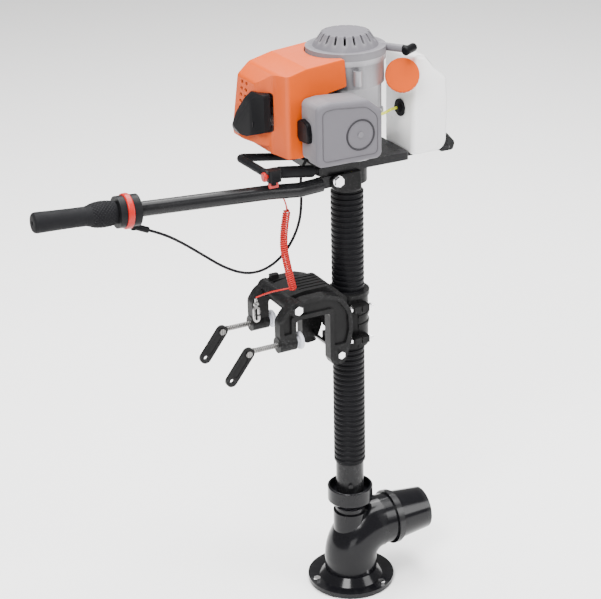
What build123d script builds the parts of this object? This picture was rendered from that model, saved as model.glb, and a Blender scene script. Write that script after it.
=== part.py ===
"""Small petrol outboard with a jet pump: engine, shaft, transom clamp, tiller and pump.

Frame: millimetres, +Z up, +X aft (the way the jet points), -X towards the boat, -Y port.
The origin is the middle of the seat that rests on the transom's top edge.
Every level is therefore a height above (or below) the top of the transom.
"""
from build123d import *
import math
import os

os.makedirs("parts", exist_ok=True)

# ---------------------------------------------------------------- driving dimensions
SHAFT_X = 84.0            # steering axis, aft of the transom seat's middle
RUN = 0.06                # radial clearance of a running fit
GAP = 0.3                 # clearance between pieces that pass each other

# shaft
TUBE_R = 22.6
TUBE_WALL = 3.0
TUBE_BOTTOM = -393.0
TUBE_TOP = 227.0
RIB_R = 25.5
RIB_ROOT_R = 23.9
RIB_PITCH = 9.0
RIBS_BOTTOM = -295.0
RIBS_TOP = 173.0

# transom clamp
PLATE_IN = 38.0           # inner face of each clamp plate, from the middle plane
PLATE_T = 18.0
SCREW_Y = PLATE_IN + PLATE_T / 2
SCREW_Z = -37.0
SCREW_R = 4.0
SCREW_PIN_X = -116.0
BOSS_FRONT_X = -65.0
BOSS_BACK_X = -36.0
PAD_FACE_X = -24.0
LEG_FACE_X = 22.0         # the aft legs' flat faces, against the transom's outside
TILT_X = -34.0
TILT_Z = 18.0
TILT_BOLT_R = 5.0
BARREL_R = 12.0
THRUST_X = 39.0
THRUST_Z = -73.0
THRUST_R = 4.0
HANDLE_ANGLE = 37.6       # how far a clamp handle hangs out from the vertical, in degrees
HANDLE_PITCH = 48.0
HANDLE_END_R = 9.5
HANDLE_T = 5.0

# swivel sleeve
SLEEVE_BORE_R = 25.8
SLEEVE_R = 31.5
SLEEVE_BOTTOM = -83.0
SLEEVE_TOP = 1.0
RING_R = 33.5
RING_TOP = 8.0
EAR_LEVELS = (-11.0, -64.0)
EAR_Y = 38.0

# pump
FLANGE_Z = -518.0
FLANGE_R = 71.7
FLANGE_T = 9.0
FLANGE_PCD = 124.0
FLANGE_BOLTS = 3
BELL_R = 43.4
PUMP_WALL = 4.0
BEND_R = 50.0
OUTLET_Z = -424.0
OUTLET_PIPE_R = 40.0
OUTLET_END_X = 162.0
NOZZLE_END_X = 221.0
NOZZLE_R = 35.0
NOZZLE_BORE_R = 31.5
NOZZLE_BORE_LENGTH = 12.0
COLLAR_R = 37.0
COLLAR_BOTTOM = -366.0
COLLAR_TOP = -341.0

# engine plate and carry handle
DECK_TOP = 230.0
DECK_T = 3.0
DECK_DEPTH = 12.0
DECK_FRONT_X = 12.0
DECK_BACK_X = 168.0
DECK_HALF_Y = 45.0
CARRY_R = 6.0
CARRY_GRIP_R = 9.0

# engine
CRANK_Z = 302.0           # height of the cylinder's axis
BORE_R = 20.0
STROKE = 34.0
CASE_HALF = 42.0
CASE_TOP = 344.0
FAN_HOUSING_R = 60.0
FAN_TOP = 387.0
DOME_TOP = 418.0
DOME_TOP_R = 35.5
DOME_BASE_R = 48.0
PULLEY_R = 30.0
PULLEY_Z = 388.0
CAP_R = 25.6
COVER_HALF_Y = 58.0
COVER_WALL = 2.5
FILTER_FRONT_Y = -110.0
FILTER_SEAM_Y = -80.0
FILTER_BACK_Y = -60.5
FILTER_LEFT_X = -23.0
FILTER_RIGHT_X = 84.0
FILTER_BOTTOM = 254.0
FILTER_TOP = 349.0

# tiller
TILLER_Y = -45.0
TILLER_R = 11.0
TILLER_PIVOT = (40.0, TILLER_Y, 208.8)
TILLER_BEND = (-70.0, TILLER_Y, 208.9)
TILLER_END = (-424.0, TILLER_Y, 230.5)
GRIP_R = 15.0
GRIP_FLARE_R = 20.5
HOUSING_R = 23.0
THROTTLE_RING_R = 25.5

# cords: points of each route, chosen by hand
CABLE_R = 2.1
CABLE_ROUTE = (
    (-262.0, -45.0, 188.0),
    (-238.0, -45.0, 177.0),
    (-208.0, -43.0, 156.0),
    (-176.0, -40.0, 130.0),
    (-143.0, -36.0, 103.0),
    (-107.0, -31.0, 83.0),
    (-74.0, -25.0, 79.0),
    (-43.0, -19.0, 89.0),
    (-18.0, -14.0, 112.0),
    (-3.0, -11.0, 141.0),
    (1.0, -10.0, 174.0),
    (-1.0, -11.0, 205.0),
    (0.0, -17.0, 229.0),
    (4.0, -29.0, 246.0),
    (10.0, -44.0, 257.0),
    (14.0, -56.0, 271.0),
)
LANYARD_R = 1.25
LANYARD_ROUTE = (
    (-66.0, -51.6, 220.0),
    (-63.0, -43.0, 218.0),
    (-55.0, -35.5, 211.5),
    (-44.5, -32.5, 197.0),
    (-35.5, -32.0, 183.0),
    (-33.5, -32.0, 167.0),
)
COIL_R = 6.25
COIL_ROUTE = (
    (-33.5, -32.0, 170.0),
    (-44.5, -32.0, 126.0),
    (-38.0, -32.0, 84.0),
    (-29.0, -32.0, 41.0),
)
TAIL_ROUTE = (
    (-30.5, -32.0, 47.0),
    (-41.0, -28.0, 45.0),
    (-50.0, -13.0, 37.0),
    (-57.5, 3.0, 28.0),
    (-66.0, 19.0, 17.5),
)
FUEL_R = 2.2
FUEL_ROUTE = (
    (166.5, -12.0, 291.0),
    (152.0, -16.0, 292.0),
    (137.0, -32.0, 295.0),
    (119.0, -48.0, 298.0),
    (95.0, -56.5, 300.0),
    (70.0, -59.0, 300.0),
    (44.0, -59.0, 300.0),
)


# ---------------------------------------------------------------- helpers
def keep(builder, label):
    """Label a finished piece and write it."""
    builder.part.label = label
    export_step(builder.part, f"parts/{label}.step")


def post(radius, bottom, top, x=SHAFT_X, y=0.0, mode=Mode.ADD):
    """Upright cylinder between two levels, on the shaft axis unless told otherwise."""
    with BuildSketch(Plane.XY.offset(bottom)) as outline:
        with Locations((x, y)):
            Circle(radius)
    extrude(outline.sketch, amount=top - bottom, mode=mode)


def rod(radius, start, end, mode=Mode.ADD):
    """Cylinder between two points."""
    along = Vector(*end) - Vector(*start)
    with BuildSketch(Plane(origin=start, z_dir=along)) as outline:
        Circle(radius)
    extrude(outline.sketch, amount=along.length, mode=mode)


def hexagon(radius, start, end):
    """Six-sided bolt head or nut between two points."""
    along = Vector(*end) - Vector(*start)
    with BuildSketch(Plane(origin=start, z_dir=along)) as outline:
        RegularPolygon(radius, 6)
    extrude(outline.sketch, amount=along.length)


def cone(bottom_r, top_r, bottom, top, mode=Mode.ADD):
    """Upright cone frustum on the shaft axis."""
    with BuildSketch(Plane.XZ) as outline:
        with BuildLine():
            Polyline(
                (SHAFT_X, bottom),
                (SHAFT_X + bottom_r, bottom),
                (SHAFT_X + top_r, top),
                (SHAFT_X, top),
                close=True,
            )
        make_face()
    revolve(outline.sketch, axis=Axis((SHAFT_X, 0, 0), (0, 0, 1)), mode=mode)


def block(low, high, corner=0.0, mode=Mode.ADD):
    """Box between two corners, with its upright edges rounded."""
    width = high[0] - low[0]
    depth = high[1] - low[1]
    with BuildSketch(Plane.XY.offset(low[2])) as outline:
        with Locations((low[0] + width / 2, low[1] + depth / 2)):
            if corner:
                RectangleRounded(width, depth, corner)
            else:
                Rectangle(width, depth)
    extrude(outline.sketch, amount=high[2] - low[2], mode=mode)


def side_plate(points, radii, y_low, y_high, mode=Mode.ADD):
    """Plate whose side view (x, z) is a polygon with rounded corners."""
    with BuildSketch(Plane.XZ.offset(-y_high)) as outline:
        with BuildLine():
            FilletPolyline(*points, radius=radii, close=True)
        make_face()
    extrude(outline.sketch, amount=y_high - y_low, mode=mode)


def corner_radii(route):
    """Largest tangent arc that each corner of a cord's route has room for."""
    radii = []
    for before, here, after in zip(route, route[1:], route[2:]):
        run_in = Vector(*here) - Vector(*before)
        run_out = Vector(*after) - Vector(*here)
        half_turn = math.radians(run_in.get_angle(run_out)) / 2
        radii.append(0.45 * min(run_in.length, run_out.length) / math.tan(half_turn))
    return radii


def cord(route, radius, name):
    """Round cord along a route of straight runs joined by tangent arcs."""
    radii = corner_radii(route)
    with BuildLine() as run:
        FilletPolyline(*route, radius=radii)
    path = run.wires()[0]
    with BuildSketch(Plane(origin=path @ 0, z_dir=path % 0)) as section:
        Circle(radius)
    sweep(section.sketch, path=path)
    length = path.length
    print(name, "length", round(length, 1), "radii", [round(r, 1) for r in radii],
          "section x length", round(math.pi * radius**2 * length))


# ---------------------------------------------------------------- transom clamp (fixed)
PLATE_POINTS = (
    (-64, -38), (-64, 2), (-52, 19), (-24, 30.5), (16, 31.5), (44, 22), (60, -4),
    (62, -34), (56, -64), (47, -88), (27, -90), (LEG_FACE_X, -78), (LEG_FACE_X, 0),
    (BOSS_BACK_X, 0), (BOSS_BACK_X, -38),
)
PLATE_RADII = (2, 14, 26, 40, 40, 26, 30, 40, 30, 8, 8, 5, 5, 5, 2)
POCKET_POINTS = (
    (-57, -20), (-57, 0), (-46, 14), (-22, 24), (14, 25), (38, 16.5), (53, -6),
    (55, -34), (49, -56), (29, -56), (29, 7), (-44, 7), (-44, -20),
)
POCKET_RADII = (2, 8, 18, 30, 30, 18, 20, 20, 4, 4, 5, 5, 2)
POCKET_DEPTH = 4.0
BOSS_R = 12.5


def clamp_plate(side):
    """C-shaped cast plate that hooks over the transom; side is -1 for port, 1 for starboard."""
    inner = side * PLATE_IN
    outer = side * (PLATE_IN + PLATE_T)
    floor = side * (PLATE_IN + PLATE_T - POCKET_DEPTH)
    side_plate(PLATE_POINTS, PLATE_RADII, min(inner, outer), max(inner, outer))
    side_plate(POCKET_POINTS, POCKET_RADII, min(floor, outer), max(floor, outer), Mode.SUBTRACT)
    rod(BARREL_R, (TILT_X, inner, TILT_Z), (TILT_X, outer, TILT_Z))
    rod(BOSS_R, (BOSS_FRONT_X, side * SCREW_Y, SCREW_Z), (BOSS_BACK_X, side * SCREW_Y, SCREW_Z))
    rod(SCREW_R + RUN, (BOSS_FRONT_X - 1, side * SCREW_Y, SCREW_Z),
        (BOSS_BACK_X + 1, side * SCREW_Y, SCREW_Z), Mode.SUBTRACT)
    rod(TILT_BOLT_R, (TILT_X, inner, TILT_Z), (TILT_X, outer, TILT_Z), Mode.SUBTRACT)
    rod(THRUST_R, (THRUST_X, inner, THRUST_Z), (THRUST_X, outer, THRUST_Z), Mode.SUBTRACT)


with BuildPart() as clamp_plate_port:
    clamp_plate(-1)
keep(clamp_plate_port, "clamp_plate_port")

with BuildPart() as clamp_plate_starboard:
    clamp_plate(1)
    # small lug that stands on the starboard jaw
    block((-29, PLATE_IN + 4, 22), (-14, PLATE_IN + PLATE_T - 4, 37.4), 3)
keep(clamp_plate_starboard, "clamp_plate_starboard")

SEAT_FRONT_X = -12.0
SEAT_T = 8.0
with BuildPart() as seat_web:
    block((SEAT_FRONT_X, -PLATE_IN, 0), (LEG_FACE_X, PLATE_IN, SEAT_T))
    # hollow underside would weaken the seat, so only the top is relieved
    block((SEAT_FRONT_X + 6, -PLATE_IN + 8, SEAT_T - 3), (LEG_FACE_X - 6, PLATE_IN - 8, SEAT_T), 4,
          Mode.SUBTRACT)
keep(seat_web, "seat_web")

OUTER_Y = PLATE_IN + PLATE_T
with BuildPart() as tilt_bolt:
    rod(TILT_BOLT_R, (TILT_X, -OUTER_Y - 1, TILT_Z), (TILT_X, OUTER_Y + 9, TILT_Z))
    hexagon(7.5, (TILT_X, -OUTER_Y - 6, TILT_Z), (TILT_X, -OUTER_Y, TILT_Z))
    hexagon(7.5, (TILT_X, OUTER_Y, TILT_Z), (TILT_X, OUTER_Y + 6, TILT_Z))
keep(tilt_bolt, "tilt_bolt")

with BuildPart() as thrust_rod:
    rod(THRUST_R, (THRUST_X, -OUTER_Y - 1, THRUST_Z), (THRUST_X, OUTER_Y + 8, THRUST_Z))
    hexagon(6.3, (THRUST_X, -OUTER_Y - 5, THRUST_Z), (THRUST_X, -OUTER_Y, THRUST_Z))
    hexagon(6.3, (THRUST_X, OUTER_Y, THRUST_Z), (THRUST_X, OUTER_Y + 5, THRUST_Z))
keep(thrust_rod, "thrust_rod")

# ---------------------------------------------------------------- clamp screws, pads, handles
TONGUE_T = 4.0
RIVET_R = 3.0
PAD_R = 14.0
PAD_T = 9.5
SOCKET_DEPTH = 4.0
PAD_BACK_X = PAD_FACE_X - PAD_T


def clamp_screw(y):
    """Threaded rod with a flat tongue and a rivet for its handle."""
    rod(SCREW_R, (SCREW_PIN_X + HANDLE_END_R + 1, y, SCREW_Z), (PAD_BACK_X + SOCKET_DEPTH - GAP, y, SCREW_Z))
    block((SCREW_PIN_X, y - TONGUE_T / 2, SCREW_Z - SCREW_R),
          (SCREW_PIN_X + HANDLE_END_R + 3, y + TONGUE_T / 2, SCREW_Z + SCREW_R))
    rod(5.5, (SCREW_PIN_X, y - TONGUE_T / 2, SCREW_Z), (SCREW_PIN_X, y + TONGUE_T / 2, SCREW_Z))
    rivet_end = y - TONGUE_T / 2 - GAP - HANDLE_T
    rod(RIVET_R, (SCREW_PIN_X, rivet_end - 1, SCREW_Z), (SCREW_PIN_X, y + TONGUE_T / 2, SCREW_Z))
    rod(RIVET_R + 2, (SCREW_PIN_X, rivet_end - GAP - 2, SCREW_Z),
        (SCREW_PIN_X, rivet_end - GAP, SCREW_Z))


def clamp_pad(y):
    """Round swivel foot that presses on the transom."""
    rod(PAD_R, (PAD_BACK_X + 3, y, SCREW_Z), (PAD_FACE_X, y, SCREW_Z))
    rod(8.5, (PAD_BACK_X, y, SCREW_Z), (PAD_BACK_X + 3, y, SCREW_Z))
    rims = [edge for edge in edges() if edge.geom_type == GeomType.CIRCLE]
    fillet([edge for edge in rims if edge.radius > PAD_R - 1], 2.5)
    rod(SCREW_R + RUN, (PAD_BACK_X - 1, y, SCREW_Z), (PAD_BACK_X + SOCKET_DEPTH, y, SCREW_Z),
        Mode.SUBTRACT)


def clamp_handle(y):
    """Flat bar with a hole at each end, hung on the screw's rivet."""
    high = y - TONGUE_T / 2 - GAP
    lean = math.radians(HANDLE_ANGLE)
    tip = (SCREW_PIN_X - HANDLE_PITCH * math.sin(lean), SCREW_Z - HANDLE_PITCH * math.cos(lean))
    with BuildSketch(Plane.XZ.offset(-high)) as outline:
        with Locations(Location(((SCREW_PIN_X + tip[0]) / 2, (SCREW_Z + tip[1]) / 2), 90 - HANDLE_ANGLE)):
            SlotOverall(HANDLE_PITCH + 2 * HANDLE_END_R, 2 * HANDLE_END_R)
        with Locations((SCREW_PIN_X, SCREW_Z)):
            Circle(RIVET_R + RUN, mode=Mode.SUBTRACT)
        with Locations(tip):
            Circle(3.4, mode=Mode.SUBTRACT)
    extrude(outline.sketch, amount=HANDLE_T)
    # shallow finger groove along both faces
    for level in (high, high - HANDLE_T + 1):
        with BuildSketch(Plane.XZ.offset(-level)) as groove:
            with Locations(Location(((SCREW_PIN_X + tip[0]) / 2, (SCREW_Z + tip[1]) / 2),
                                    90 - HANDLE_ANGLE)):
                SlotOverall(HANDLE_PITCH - 4 * RIVET_R, HANDLE_END_R)
        extrude(groove.sketch, amount=1, mode=Mode.SUBTRACT)


for name, y in (("port", -SCREW_Y), ("starboard", SCREW_Y)):
    with BuildPart() as screw:
        clamp_screw(y)
    keep(screw, f"screw_{name}")
    with BuildPart() as pad:
        clamp_pad(y)
    keep(pad, f"pad_{name}")
    with BuildPart() as handle:
        clamp_handle(y)
    keep(handle, f"screw_handle_{name}")

# ---------------------------------------------------------------- swivel bracket (tilts)
ARM_HALF_Y = 30.0
RIB_GROOVES = (-20.0, -10.0, 0.0, 10.0, 20.0)
RIB_GROOVE = 3.0
ARM_POINTS = ((TILT_X, 29.5), (-8, 34), (38, 34), (66, 7), (66, -60), (54, -60), (46, -22),
              (38, 12.5), (TILT_X, 12.5))
ARM_RADII = (1, 10, 12, 4, 2, 2, 20, 12, 1)
EAR_T = 10.0
EAR_OUT_Y = 46.0
SLEEVE_SPLIT = 0.5
BOLT_R = 2.5
with BuildPart() as swivel_bracket:
    side_plate(ARM_POINTS, ARM_RADII, -ARM_HALF_Y, ARM_HALF_Y)
    # lengthwise ribs along the top of the arm
    for y in RIB_GROOVES:
        block((-12, y - RIB_GROOVE / 2, 34 - RIB_GROOVE), (36, y + RIB_GROOVE / 2, 40), 0, Mode.SUBTRACT)
    rod(BARREL_R, (TILT_X, -PLATE_IN + GAP, TILT_Z), (TILT_X, PLATE_IN - GAP, TILT_Z))
    # front half of the steering sleeve and the full ring above it
    post(SLEEVE_R, SLEEVE_BOTTOM, SLEEVE_TOP)
    post(RING_R, SLEEVE_TOP, RING_TOP)
    block((THRUST_X + THRUST_R + GAP, -12, SLEEVE_BOTTOM), (64, 12, -60))
    for level in EAR_LEVELS:
        block((70, -EAR_OUT_Y, level - EAR_T / 2), (SHAFT_X, EAR_OUT_Y, level + EAR_T / 2), 3)
    block((SHAFT_X - SLEEVE_SPLIT, -60, SLEEVE_BOTTOM - 1), (140, 60, SLEEVE_TOP), 0, Mode.SUBTRACT)
    post(SLEEVE_BORE_R, SLEEVE_BOTTOM - 1, 40, mode=Mode.SUBTRACT)
    rod(TILT_BOLT_R + RUN, (TILT_X, -PLATE_IN, TILT_Z), (TILT_X, PLATE_IN, TILT_Z), Mode.SUBTRACT)
    for level in EAR_LEVELS:
        for y in (-EAR_Y, EAR_Y):
            rod(BOLT_R, (60, y, level), (90, y, level), Mode.SUBTRACT)
keep(swivel_bracket, "swivel_bracket")

CAP_EAR_X = 98.0
with BuildPart() as sleeve_cap:
    post(SLEEVE_R, SLEEVE_BOTTOM, SLEEVE_TOP - SLEEVE_SPLIT)
    for level in EAR_LEVELS:
        block((80, -EAR_OUT_Y, level - EAR_T / 2), (CAP_EAR_X, EAR_OUT_Y, level + EAR_T / 2), 3)
    # two ribs stiffen the back of the cap
    for level in (-30.0, -45.0):
        post(SLEEVE_R + 1.5, level - 2, level + 2)
    block((40, -60, SLEEVE_BOTTOM - 1), (SHAFT_X + SLEEVE_SPLIT, 60, SLEEVE_TOP), 0, Mode.SUBTRACT)
    post(SLEEVE_BORE_R, SLEEVE_BOTTOM - 1, SLEEVE_TOP, mode=Mode.SUBTRACT)
    for level in EAR_LEVELS:
        for y in (-EAR_Y, EAR_Y):
            rod(BOLT_R, (78, y, level), (110, y, level), Mode.SUBTRACT)
keep(sleeve_cap, "sleeve_cap")

with BuildPart() as sleeve_bolts:
    for level in EAR_LEVELS:
        for y in (-EAR_Y, EAR_Y):
            rod(BOLT_R, (66, y, level), (107, y, level))
            hexagon(5, (66, y, level), (70, y, level))
            hexagon(5, (CAP_EAR_X, y, level), (CAP_EAR_X + 4.5, y, level))
keep(sleeve_bolts, "sleeve_bolts")

# ---------------------------------------------------------------- shaft (steers)
with BuildPart() as shaft_tube:
    post(TUBE_R, TUBE_BOTTOM, TUBE_TOP)
    post(TUBE_R - TUBE_WALL, TUBE_BOTTOM, TUBE_TOP, mode=Mode.SUBTRACT)
    # pinch screw above the pump's collar
    rod(4.0, (SHAFT_X - 9, -18.5, -333), (SHAFT_X - 11.5, -23.5, -333))
keep(shaft_tube, "shaft_tube")

with BuildPart() as ribbed_sleeve:
    rib_count = int((RIBS_TOP - RIBS_BOTTOM) / RIB_PITCH)
    with BuildSketch(Plane.XZ) as sleeve_section:
        with BuildLine():
            outline_points = [(SHAFT_X + TUBE_R, RIBS_BOTTOM), (SHAFT_X + RIB_ROOT_R, RIBS_BOTTOM)]
            for rib in range(rib_count):
                base = RIBS_BOTTOM + rib * RIB_PITCH
                outline_points.append((SHAFT_X + RIB_ROOT_R, base + 1.5))
                outline_points.append((SHAFT_X + RIB_R, base + 3.0))
                outline_points.append((SHAFT_X + RIB_R, base + 6.5))
                outline_points.append((SHAFT_X + RIB_ROOT_R, base + 8.0))
            outline_points.append((SHAFT_X + RIB_ROOT_R, RIBS_TOP))
            outline_points.append((SHAFT_X + TUBE_R, RIBS_TOP))
            Polyline(*outline_points, close=True)
        make_face()
    revolve(axis=Axis((SHAFT_X, 0, 0), (0, 0, 1)))
keep(ribbed_sleeve, "ribbed_sleeve")

# ---------------------------------------------------------------- engine plate and handle
DRIVE_HOLE_R = 12.0
with BuildPart() as engine_plate:
    block((DECK_FRONT_X, -DECK_HALF_Y, DECK_TOP - DECK_DEPTH), (DECK_BACK_X, DECK_HALF_Y, DECK_TOP), 6)
    block((DECK_FRONT_X + DECK_T, -DECK_HALF_Y + DECK_T, DECK_TOP - DECK_DEPTH),
          (DECK_BACK_X - DECK_T, DECK_HALF_Y - DECK_T, DECK_TOP - DECK_T), 3, Mode.SUBTRACT)
    post(DRIVE_HOLE_R, DECK_TOP - DECK_DEPTH, DECK_TOP, mode=Mode.SUBTRACT)
keep(engine_plate, "engine_plate")

CLEVIS_GAP_LOW = -49.3
CLEVIS_GAP_HIGH = -40.7
CLEVIS_T = 4.0
with BuildPart() as top_clamp:
    post(31.0, 188, DECK_TOP - DECK_T)
    # cheeks that hold the tiller's root
    side_plate(((30, 199), (30, 217.6), (72, 217.6), (72, 190), (46, 190)), (7, 7, 1, 1, 8),
               CLEVIS_GAP_LOW - CLEVIS_T, CLEVIS_GAP_HIGH + CLEVIS_T)
    block((56, CLEVIS_GAP_LOW - CLEVIS_T, 190), (80, 0, 217.6), 2)
    block((10, CLEVIS_GAP_LOW, 180), (54, CLEVIS_GAP_HIGH, 230), 0, Mode.SUBTRACT)
    # pinch slot at the back
    block((SHAFT_X, -1.5, 180), (SHAFT_X + 40, 1.5, 230), 0, Mode.SUBTRACT)
    post(TUBE_R, 180, 230, mode=Mode.SUBTRACT)
    rod(4.0, (TILLER_PIVOT[0], -60, TILLER_PIVOT[2]), (TILLER_PIVOT[0], -30, TILLER_PIVOT[2]), Mode.SUBTRACT)
keep(top_clamp, "top_clamp")

with BuildPart() as tiller_bolt:
    pivot_x = TILLER_PIVOT[0]
    pivot_z = TILLER_PIVOT[2]
    outer = CLEVIS_GAP_LOW - CLEVIS_T
    inner = CLEVIS_GAP_HIGH + CLEVIS_T
    rod(4.0, (pivot_x, outer - 1, pivot_z), (pivot_x, inner + 1, pivot_z))
    rod(8.5, (pivot_x, outer - 1.5, pivot_z), (pivot_x, outer, pivot_z))
    hexagon(8, (pivot_x, outer - 6.5, pivot_z), (pivot_x, outer - 1.5, pivot_z))
keep(tiller_bolt, "tiller_bolt")

HANDLE_Y = 39.0
HANDLE_NEAR = (DECK_FRONT_X + 3, -HANDLE_Y, 225.0)
HANDLE_CORNER = (-73.0, -HANDLE_Y, 237.5)
HANDLE_FAR_CORNER = (-74.0, HANDLE_Y + 7, 236.5)
HANDLE_FAR = (DECK_FRONT_X + 3, HANDLE_Y, 225.0)
with BuildPart() as carry_handle:
    with BuildLine() as handle_path:
        FilletPolyline(HANDLE_NEAR, HANDLE_CORNER, HANDLE_FAR_CORNER, HANDLE_FAR, radius=8)
    with BuildSketch(Plane(origin=handle_path.wires()[0] @ 0, z_dir=handle_path.wires()[0] % 0)) as handle_section:
        Circle(CARRY_R)
    sweep(handle_section.sketch, path=handle_path.wires()[0])
    # padded stretch of the near arm
    near = Vector(*HANDLE_NEAR)
    along = Vector(*HANDLE_CORNER) - near
    grip_start = near + along * 0.10
    grip_end = near + along * 0.76
    rod(CARRY_GRIP_R, tuple(grip_start), tuple(grip_end))
    fillet([edge for edge in edges().filter_by(GeomType.CIRCLE) if edge.radius > CARRY_GRIP_R - 0.1], 2)
    # both ends are cut square against the plate's front edge
    block((DECK_FRONT_X, -60, 200), (DECK_FRONT_X + 20, 60, 250), 0, Mode.SUBTRACT)
keep(carry_handle, "carry_handle")

# ---------------------------------------------------------------- stop switch and lanyard
SWITCH_LOW = (-76.0, -61.5, 228.0)
SWITCH_HIGH = (-56.0, -HANDLE_Y - CARRY_R, 246.0)
SWITCH_Y = -54.0
BUTTON_Z = 237.0
BUTTON_TRAVEL = 2.5
BUTTON_STEM_R = 3.0
CLIP_POST_X = -67.0
with BuildPart() as stop_switch:
    block(SWITCH_LOW, SWITCH_HIGH, 4)
    post(4, 222.5, SWITCH_LOW[2], CLIP_POST_X, SWITCH_Y)
    rod(BUTTON_STEM_R + RUN, (-77, SWITCH_Y, BUTTON_Z), (-64, SWITCH_Y, BUTTON_Z), Mode.SUBTRACT)
keep(stop_switch, "stop_switch")

with BuildPart() as stop_button:
    rod(BUTTON_STEM_R, (-80, SWITCH_Y, BUTTON_Z), (-64 - BUTTON_TRAVEL - GAP, SWITCH_Y, BUTTON_Z))
    rod(7.0, (-84, SWITCH_Y, BUTTON_Z), (-79, SWITCH_Y, BUTTON_Z))
    fillet([edge for edge in edges().filter_by(GeomType.CIRCLE) if edge.radius > 6.9], 1.8)
keep(stop_button, "stop_button")

with BuildPart() as stop_clip:
    with BuildSketch(Plane.XZ.offset(-SWITCH_Y - 1.6)) as clip_outline:
        with Locations((CLIP_POST_X, 222.8)):
            RectangleRounded(16, 9.6, 2)
        with Locations((CLIP_POST_X, 225.6)):
            Rectangle(8.6, 6.2, mode=Mode.SUBTRACT)
    extrude(clip_outline.sketch, amount=3.2)
keep(stop_clip, "stop_clip")

with BuildPart() as lanyard_cord:
    cord(LANYARD_ROUTE, LANYARD_R, "lanyard_cord upper")
    cord(TAIL_ROUTE, LANYARD_R, "lanyard_cord lower")
keep(lanyard_cord, "lanyard_cord")

with BuildPart() as lanyard_coil:
    cord(COIL_ROUTE, COIL_R, "lanyard_coil")
keep(lanyard_coil, "lanyard_coil")

HOOK_X = -66.0
HOOK_Y = 20.0
with BuildPart() as snap_hook:
    with BuildSketch(Plane.XZ.offset(-HOOK_Y - 1.6)) as hook_outline:
        with Locations((HOOK_X, -11)):
            SlotOverall(26, 11, rotation=90)
            SlotOverall(20, 5.4, rotation=90, mode=Mode.SUBTRACT)
        with Locations((HOOK_X, 5.5)):
            Circle(4)
            Circle(1.8, mode=Mode.SUBTRACT)
        with Locations((HOOK_X, 11.5)):
            Rectangle(3.4, 6)
        with Locations((HOOK_X + 4, -13)):
            Rectangle(4.6, 3, rotation=20, mode=Mode.SUBTRACT)
    extrude(hook_outline.sketch, amount=3.2)
keep(snap_hook, "snap_hook")

# ---------------------------------------------------------------- tiller (folds)
LUG_T = 8.0
with BuildPart() as tiller_tube:
    tiller_route = (TILLER_END, TILLER_BEND, (-20.0, TILLER_Y, 203.5), (16.0, TILLER_Y, 205.6))
    with BuildLine() as tiller_path:
        FilletPolyline(*tiller_route, radius=(70, 60))
    with BuildSketch(Plane(origin=TILLER_END, z_dir=tiller_path.wires()[0] % 0)) as tiller_section:
        Circle(TILLER_R)
        Circle(TILLER_R - 2, mode=Mode.SUBTRACT)
    sweep(tiller_section.sketch, path=tiller_path.wires()[0])
    side_plate(((4, 199), (4, 215), (20, 217), (48.2, 217), (48.2, 200.6), (20, 199)), (2, 2, 8, 8, 8, 8),
               TILLER_Y - LUG_T / 2, TILLER_Y + LUG_T / 2)
    rod(4.0 + RUN, (TILLER_PIVOT[0], -60, TILLER_PIVOT[2]), (TILLER_PIVOT[0], -30, TILLER_PIVOT[2]),
        Mode.SUBTRACT)
keep(tiller_tube, "tiller_tube")

TILLER_DIRECTION = (Vector(*TILLER_END) - Vector(*TILLER_BEND)).normalized()


def on_tiller(distance):
    """Point on the tiller's axis, this far forward of its bend."""
    return tuple(Vector(*TILLER_BEND) + TILLER_DIRECTION * distance)


HOUSING_NEAR = 207.0
HOUSING_FAR = 239.0
RING_NEAR = 219.0
RING_FAR = 229.0
CABLE_BOSS_R = 4.6
with BuildPart() as throttle_housing:
    rod(HOUSING_R, on_tiller(HOUSING_NEAR), on_tiller(RING_NEAR))
    rod(HOUSING_R - 3, on_tiller(RING_NEAR), on_tiller(RING_FAR))
    rod(HOUSING_R, on_tiller(RING_FAR), on_tiller(HOUSING_FAR))
    # elbow that the cable comes out of
    rod(CABLE_BOSS_R, (-283, TILLER_Y, 205), (-283, TILLER_Y, 193))
    rod(CABLE_BOSS_R, (-286, TILLER_Y, 199.0), (-262, TILLER_Y, 188.0))
    rod(TILLER_R, on_tiller(HOUSING_NEAR - 1), on_tiller(HOUSING_FAR + 1), Mode.SUBTRACT)
keep(throttle_housing, "throttle_housing")

with BuildPart() as throttle_ring:
    rod(THROTTLE_RING_R, on_tiller(RING_NEAR), on_tiller(RING_FAR))
    fillet([edge for edge in edges().filter_by(GeomType.CIRCLE)], 2.4)
    rod(HOUSING_R - 3, on_tiller(RING_NEAR - 1), on_tiller(RING_FAR + 1), Mode.SUBTRACT)
keep(throttle_ring, "throttle_ring")

FLARE_NEAR = HOUSING_FAR + GAP
FLARE_FAR = 283.0
GRIP_FAR = 362.0
GRIP_GROOVES = 16
with BuildPart() as twist_grip:
    rod(GRIP_FLARE_R, on_tiller(FLARE_NEAR), on_tiller(FLARE_FAR))
    rod(GRIP_R, on_tiller(FLARE_FAR), on_tiller(GRIP_FAR))
    fillet([edge for edge in edges().filter_by(GeomType.CIRCLE)], 2.5)
    with BuildSketch(Plane(origin=on_tiller(FLARE_FAR + 6), z_dir=TILLER_DIRECTION)) as grooves:
        with PolarLocations(GRIP_R + 0.3, GRIP_GROOVES):
            Circle(1.1)
    extrude(grooves.sketch, amount=GRIP_FAR - FLARE_FAR - 12, mode=Mode.SUBTRACT)
    rod(TILLER_R + RUN, on_tiller(FLARE_NEAR - 1), on_tiller(GRIP_FAR - 5), Mode.SUBTRACT)
keep(twist_grip, "twist_grip")

with BuildPart() as throttle_cable:
    cord(CABLE_ROUTE, CABLE_R, "throttle_cable")
keep(throttle_cable, "throttle_cable")

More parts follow.
